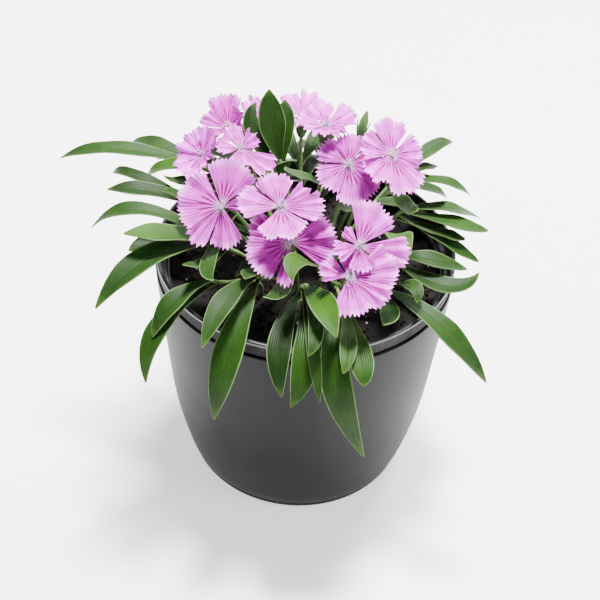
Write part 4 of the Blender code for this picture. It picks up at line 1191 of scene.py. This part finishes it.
def turned_piece(name, profile, finish, steps=POT_TURN_STEPS):
    """A closed profile of (radius, height) turned round Z; its ends lie on the axis."""
    work = bmesh.new()
    rings = []
    for radius, height in profile:
        if radius < 0.01:
            rings.append([work.verts.new(Vector((0, 0, height)) * MM)])
        else:
            rings.append([work.verts.new(Vector((radius * math.cos(2 * math.pi * i / steps),
                                                 radius * math.sin(2 * math.pi * i / steps), height)) * MM)
                          for i in range(steps)])
    for near, far in zip(rings, rings[1:]):
        for i in range(steps):
            j = (i + 1) % steps
            corners = [near[i % len(near)], near[j % len(near)], far[j % len(far)], far[i % len(far)]]
            work.faces.new(list(dict.fromkeys(corners)))
    bmesh.ops.recalc_face_normals(work, faces=work.faces)
    mesh = bpy.data.meshes.new(name)
    work.to_mesh(mesh)
    work.free()
    mesh.materials.append(finish)
    mesh.shade_smooth()
    mesh.set_sharp_from_angle(angle=math.radians(38))
    obj = bpy.data.objects.new(name, mesh)
    bpy.context.scene.collection.objects.link(obj)
    return obj


def arc(middle, radius, start, end, steps=5):
    """Points on an arc of a profile, angles in degrees."""
    turns = [math.radians(start + (end - start) * step / steps) for step in range(steps + 1)]
    return [(middle[0] + radius * math.cos(a), middle[1] + radius * math.sin(a)) for a in turns]


def make_planter():
    """The grey planter with its rounded foot and softened edge."""
    heights = [share * PLANTER_HEIGHT for share, _ in PLANTER_BULGE]
    outside = [(PLANTER_BASE_RADIUS + 0.6, 4.6)] + [(planter_outside(h), h) for h in heights]
    outside = smooth_profile(outside + [(PLANTER_TOP_RADIUS, PLANTER_HEIGHT - 0.9)], 8)
    inside = [(radius - PLANTER_WALL, height) for radius, height in outside[6:]]
    edge = arc((PLANTER_TOP_RADIUS - 0.9, PLANTER_HEIGHT - 0.9), 0.9, 0, 90)
    inner_edge = arc((PLANTER_TOP_RADIUS - PLANTER_WALL + 0.6, PLANTER_HEIGHT - 0.6), 0.6, 90, 180)
    foot = arc((PLANTER_BASE_RADIUS - 3.9, 4.5), 4.5, 0, -90, 8)
    profile = [(0, 0), (PLANTER_BASE_RADIUS - 4.6, 0), *foot[::-1], *outside, *edge, *inner_edge]
    profile += inside[::-1] + [(PLANTER_BASE_RADIUS - 4, PLANTER_FLOOR), (0, PLANTER_FLOOR)]
    finished(turned_piece("planter_shell", profile, planter_finish()), "planter_plastic", "planter")


def ribs_by_nodes(finish):
    """Fine raised rings round the collar, placed by Geometry Nodes: a ring for each rib, evenly spaced."""
    tree = bpy.data.node_groups.new("collar_ribs", "GeometryNodeTree")
    for label, kind, value in (("Ribs", "NodeSocketInt", RIB_COUNT), ("Lowest", "NodeSocketFloat", 0.0),
                               ("Pitch", "NodeSocketFloat", 0.001), ("Radius", "NodeSocketFloat", 0.07),
                               ("Thickness", "NodeSocketFloat", 0.0003)):
        tree.interface.new_socket(label, in_out="INPUT", socket_type=kind).default_value = value
    tree.interface.new_socket("Geometry", in_out="OUTPUT", socket_type="NodeSocketGeometry")
    sizes = tree.nodes.new("NodeGroupInput")
    result = tree.nodes.new("NodeGroupOutput")

    def node(kind, links, **settings):
        made = tree.nodes.new(kind)
        for key, value in settings.items():
            setattr(made, key, value)
        for key, value in links.items():
            if isinstance(value, bpy.types.NodeSocket):
                tree.links.new(value, made.inputs[key])
            else:
                made.inputs[key].default_value = value
        return made
    start = node("ShaderNodeCombineXYZ", {"Z": sizes.outputs["Lowest"]})
    offset = node("ShaderNodeCombineXYZ", {"Z": sizes.outputs["Pitch"]})
    column = node("GeometryNodeMeshLine", {"Count": sizes.outputs["Ribs"], "Start Location": start.outputs[0],
                                           "Offset": offset.outputs[0]})
    ring = node("GeometryNodeCurvePrimitiveCircle", {"Resolution": POT_TURN_STEPS, "Radius": sizes.outputs["Radius"]})
    bead = node("GeometryNodeCurvePrimitiveCircle", {"Resolution": 8, "Radius": sizes.outputs["Thickness"]})
    swept = node("GeometryNodeCurveToMesh", {"Curve": ring.outputs[0], "Profile Curve": bead.outputs[0]})
    copies = node("GeometryNodeInstanceOnPoints", {"Points": column.outputs[0], "Instance": swept.outputs[0]})
    real = node("GeometryNodeRealizeInstances", {"Geometry": copies.outputs[0]})
    painted = node("GeometryNodeSetMaterial", {"Geometry": real.outputs[0], "Material": finish})
    tree.links.new(painted.outputs[0], result.inputs[0])
    return tree


def grown(name, tree, sizes, host=None):
    """Run a node tree on a piece, keep what it makes as a plain mesh, and drop the modifier."""
    obj = host or bpy.data.objects.new(name, bpy.data.meshes.new(name))
    if not host:
        bpy.context.scene.collection.objects.link(obj)
    step = obj.modifiers.new(name, "NODES")
    step.node_group = tree
    labels = {item.name: item.identifier for item in tree.interface.items_tree if item.in_out == "INPUT"}
    for label, value in sizes.items():
        step[labels[label]] = value
    graph = bpy.context.evaluated_depsgraph_get()
    mesh = bpy.data.meshes.new_from_object(obj.evaluated_get(graph))
    mesh.name = name
    obj.modifiers.clear()
    made = obj
    if host:
        made = bpy.data.objects.new(name, mesh)
        bpy.context.scene.collection.objects.link(made)
    else:
        made.data = mesh
    mesh.shade_smooth()
    return made


def make_grow_pot():
    """The black grow pot, its collar and the fine rings round it."""
    seat = PLANTER_HEIGHT + SEAT_GAP
    floor = POT_BASE_LEVEL + POT_FLOOR
    black = grow_pot_finish()
    lip = COLLAR_RADIUS + 0.5
    profile = [(0, POT_BASE_LEVEL), (POT_BASE_RADIUS - 1.5, POT_BASE_LEVEL), (POT_BASE_RADIUS, POT_BASE_LEVEL + 1.5)]
    profile += [(POT_TOP_RADIUS, seat - 0.6), (POT_TOP_RADIUS + 0.6, seat), (COLLAR_RADIUS - 0.3, seat)]
    profile += [(COLLAR_RADIUS - 0.1, seat + 0.3), (COLLAR_RADIUS + 0.05, POT_TOP - 1.9)]
    profile += [(lip + 0.25, POT_TOP - 1.6), *arc((lip - 0.3, POT_TOP - 0.7), 0.7, -20, 90)]
    profile += [*arc((lip - 1.0, POT_TOP - 0.4), 0.4, 90, 180, 3), (COLLAR_RADIUS - 1.3, POT_TOP - 2)]
    profile += [(COLLAR_RADIUS - 2.0, seat - 0.4), (POT_TOP_RADIUS - POT_WALL + 0.4, seat - 2.4)]
    profile += [(POT_TOP_RADIUS - POT_WALL, seat - 4), (POT_BASE_RADIUS - POT_WALL - 1, floor), (0, floor)]
    finished(turned_piece("grow_pot_shell", profile, black), "grow_pot_plastic", "grow_pot")
    pitch = (COLLAR_HEIGHT - 3.2) / RIB_COUNT
    rings = grown("collar_ribs", ribs_by_nodes(black), {
        "Ribs": RIB_COUNT, "Lowest": (seat + 0.8) * MM, "Pitch": pitch * MM,
        "Radius": COLLAR_RADIUS * MM, "Thickness": 0.32 * MM})
    finished(rings, "grow_pot_plastic")


def soil_height(x, y):
    """Level of the peat's top at a place, lumpy at three sizes."""
    out = math.hypot(x, y) / (POT_TOP_RADIUS - POT_WALL)
    rise = SOIL_CROWN * (1 - out)
    for size, depth in ((14.0, 1.3), (5.0, 0.8), (2.1, 0.5)):
        rise += depth * noise.noise(Vector((x / size, y / size, size)))
    return SOIL_LEVEL + rise


def make_soil():
    """The root ball: a crumbly top over the tapering side that the grow pot gave it."""
    floor = POT_BASE_LEVEL + POT_FLOOR + SEAT_GAP
    side = POT_TOP_RADIUS - POT_WALL - SEAT_GAP - 0.2
    profile = [(side * step / PEAT_RINGS, SOIL_LEVEL) for step in range(PEAT_RINGS + 1)]
    foot = POT_BASE_RADIUS - POT_WALL - SEAT_GAP - 1.4
    profile += [(side + (foot - side) * s, SOIL_LEVEL + (floor - SOIL_LEVEL) * s) for s in (0.03, 0.3, 0.6, 1.0)]
    peat = soil_finish("peat_dark", (0.0012, 0.0009, 0.0008), (0.0060, 0.0042, 0.0032))
    body = turned_piece("peat", profile + [(0, floor)], peat, PEAT_TURN_STEPS)
    for vertex in body.data.vertices:
        if vertex.co.z > (SOIL_LEVEL - 0.5) * MM:
            vertex.co.z = soil_height(vertex.co.x / MM, vertex.co.y / MM) * MM
    finished(body, "soil", "soil")
    crumb = soil_finish("peat_crumb", (0.0022, 0.0016, 0.0013), (0.0110, 0.0075, 0.0052))
    finished(grown("peat_crumbs", scatter_by_nodes("peat_crumbs", crumb), {
        "Count": CRUMB_COUNT, "Reach": (side - 2.2) * MM, "Smallest": 0.5 * MM, "Largest": 1.7 * MM,
        "Flatness": 0.6, "Level": (SOIL_LEVEL + 0.4) * MM, "Crown": SOIL_CROWN * MM, "Seed": 3}), "soil")
    finished(grown("perlite_grains", scatter_by_nodes("perlite_grains", perlite_finish()), {
        "Count": PERLITE_COUNT, "Reach": (side - 3) * MM, "Smallest": 0.5 * MM, "Largest": 1.0 * MM,
        "Flatness": 0.8, "Level": (SOIL_LEVEL + 0.8) * MM, "Crown": SOIL_CROWN * MM, "Seed": 8}), "soil")


def scatter_by_nodes(name, finish):
    """Small lumps strewn over the peat by Geometry Nodes: a point for each, its place, turn and size drawn from a seed."""
    tree = bpy.data.node_groups.new(name + "_strewn", "GeometryNodeTree")
    for label, kind, value in (("Count", "NodeSocketInt", 100), ("Reach", "NodeSocketFloat", 0.06),
                               ("Smallest", "NodeSocketFloat", 0.0005), ("Largest", "NodeSocketFloat", 0.0015),
                               ("Flatness", "NodeSocketFloat", 0.7), ("Level", "NodeSocketFloat", 0.1),
                               ("Crown", "NodeSocketFloat", 0.003), ("Seed", "NodeSocketInt", 1)):
        tree.interface.new_socket(label, in_out="INPUT", socket_type=kind).default_value = value
    tree.interface.new_socket("Geometry", in_out="OUTPUT", socket_type="NodeSocketGeometry")
    sizes = tree.nodes.new("NodeGroupInput").outputs
    result = tree.nodes.new("NodeGroupOutput")

    def node(kind, links, output=0, **settings):
        made = tree.nodes.new(kind)
        for key, value in settings.items():
            setattr(made, key, value)
        for key, value in links.items():
            if isinstance(value, bpy.types.NodeSocket):
                tree.links.new(value, made.inputs[key])
            else:
                made.inputs[key].default_value = value
        return made.outputs[output]

    def maths(operation, first, second=0.0):
        return node("ShaderNodeMath", {0: first, 1: second}, operation=operation)

    def draw(low, high, shift):
        seed = maths("ADD", sizes["Seed"], shift)
        return node("FunctionNodeRandomValue", {2: low, 3: high, "Seed": seed}, 1, data_type="FLOAT")
    points = node("GeometryNodePoints", {"Count": sizes["Count"]})
    share = maths("SQRT", draw(0.0, 1.0, 0))
    out = maths("MULTIPLY", share, sizes["Reach"])
    angle = draw(0.0, 2 * math.pi, 1)
    x = maths("MULTIPLY", out, maths("COSINE", angle))
    y = maths("MULTIPLY", out, maths("SINE", angle))
    crown = maths("MULTIPLY", sizes["Crown"], maths("SUBTRACT", 1.0, share))
    z = maths("ADD", sizes["Level"], maths("ADD", crown, draw(-0.0008, 0.0004, 2)))
    place = node("ShaderNodeCombineXYZ", {0: x, 1: y, 2: z})
    strewn = node("GeometryNodeSetPosition", {"Geometry": points, "Position": place})
    lump = node("GeometryNodeMeshIcoSphere", {"Radius": 1.0, "Subdivisions": 2})
    jag = node("ShaderNodeTexNoise", {"Scale": 1.4, "Detail": 3.0})
    normal = node("GeometryNodeInputNormal", {})
    push = node("ShaderNodeVectorMath", {0: normal, "Scale": maths("SUBTRACT", jag, 0.5)}, operation="SCALE")
    rough = node("GeometryNodeSetPosition", {"Geometry": lump, "Offset": push})
    spin = node("ShaderNodeCombineXYZ", {0: draw(0.0, 6.28, 3), 1: draw(0.0, 6.28, 4), 2: draw(0.0, 6.28, 5)})
    size = draw(0.0, 1.0, 6)
    size = maths("ADD", sizes["Smallest"], maths("MULTIPLY", maths("POWER", size, 2.5), maths("SUBTRACT", sizes["Largest"], sizes["Smallest"])))
    low = maths("MULTIPLY", size, sizes["Flatness"])
    scale = node("ShaderNodeCombineXYZ", {0: size, 1: low, 2: low})
    copies = node("GeometryNodeInstanceOnPoints", {"Points": strewn, "Instance": rough, "Rotation": spin, "Scale": scale})
    real = node("GeometryNodeRealizeInstances", {"Geometry": copies})
    painted = node("GeometryNodeSetMaterial", {"Geometry": real, "Material": finish})
    tree.links.new(painted, result.inputs[0])
    return tree


def make_studio():
    """A pale floor that curves up behind, soft light all round and a large soft key light."""
    floor = Finish("floor_white", 0.75, Emission_Color=(1.0, 1.0, 1.0, 1.0), Emission_Strength=FLOOR_GLOW)
    grain = floor.noise(floor.place(), 18.0, 3.0)
    floor.paint(floor.mix(grain, (0.86, 0.86, 0.86), (0.90, 0.90, 0.90)), 0.7 + grain * 0.1, grain, 0.0001)
    mesh = bpy.data.meshes.new("studio_floor")
    rows = [(-3.0, 0.0), (2.2, 0.0), (2.7, 0.08), (3.1, 0.35), (3.3, 0.8), (3.35, 3.0)]
    points = [(x, y, z) for y, z in rows for x in (-4.0, 4.0)]
    mesh.from_pydata(points, [], [(2 * i, 2 * i + 1, 2 * i + 3, 2 * i + 2) for i in range(len(rows) - 1)])
    mesh.materials.append(floor.material)
    mesh.shade_smooth()
    ground = bpy.data.objects.new("studio_floor", mesh)
    bpy.context.scene.collection.objects.link(ground)
    world = bpy.data.worlds.new("studio_world")
    world.use_nodes = True
    backdrop = world.node_tree.nodes["Background"]
    backdrop.inputs["Color"].default_value = (1.0, 1.0, 1.0, 1.0)
    backdrop.inputs["Strength"].default_value = WORLD_LIGHT
    bpy.context.scene.world = world
    for label, place, size, power in STUDIO_LAMPS:
        lamp = bpy.data.lights.new(label, "AREA")
        lamp.shape = "DISK"
        lamp.size = size
        lamp.energy = power
        obj = bpy.data.objects.new(label, lamp)
        obj.location = place
        aim = Vector((0, 0, 0.12)) - Vector(place)
        obj.rotation_euler = aim.to_track_quat("-Z", "Y").to_euler()
        bpy.context.scene.collection.objects.link(obj)


def make_camera():
    """The camera at the photo's angle."""
    height = math.radians(VIEW_HEIGHT_ANGLE)
    back = Vector((0, -math.cos(height), math.sin(height)))
    right = Vector((1, 0, 0))
    turn = Matrix((right, back.cross(right), back)).transposed().to_4x4()
    lens = bpy.data.cameras.new("photo_camera")
    lens.sensor_width = SENSOR
    lens.lens = LENS_PER_PIXEL / FRAME_PIXELS * SENSOR
    lens.clip_start = 0.01
    camera = bpy.data.objects.new("photo_camera", lens)
    camera.matrix_world = Matrix.Translation(VIEW_AIM + back * VIEW_DISTANCE) @ turn @ Matrix.Rotation(
        math.radians(VIEW_ROLL), 4, "Z")
    bpy.context.scene.collection.objects.link(camera)
    bpy.context.scene.camera = camera


make_camera()
make_studio()
make_planter()
make_grow_pot()
make_soil()
layout = lay_out_plant()
make_blooms(layout.blooms)
make_leafy_stems(layout.stems, layout.leaves)
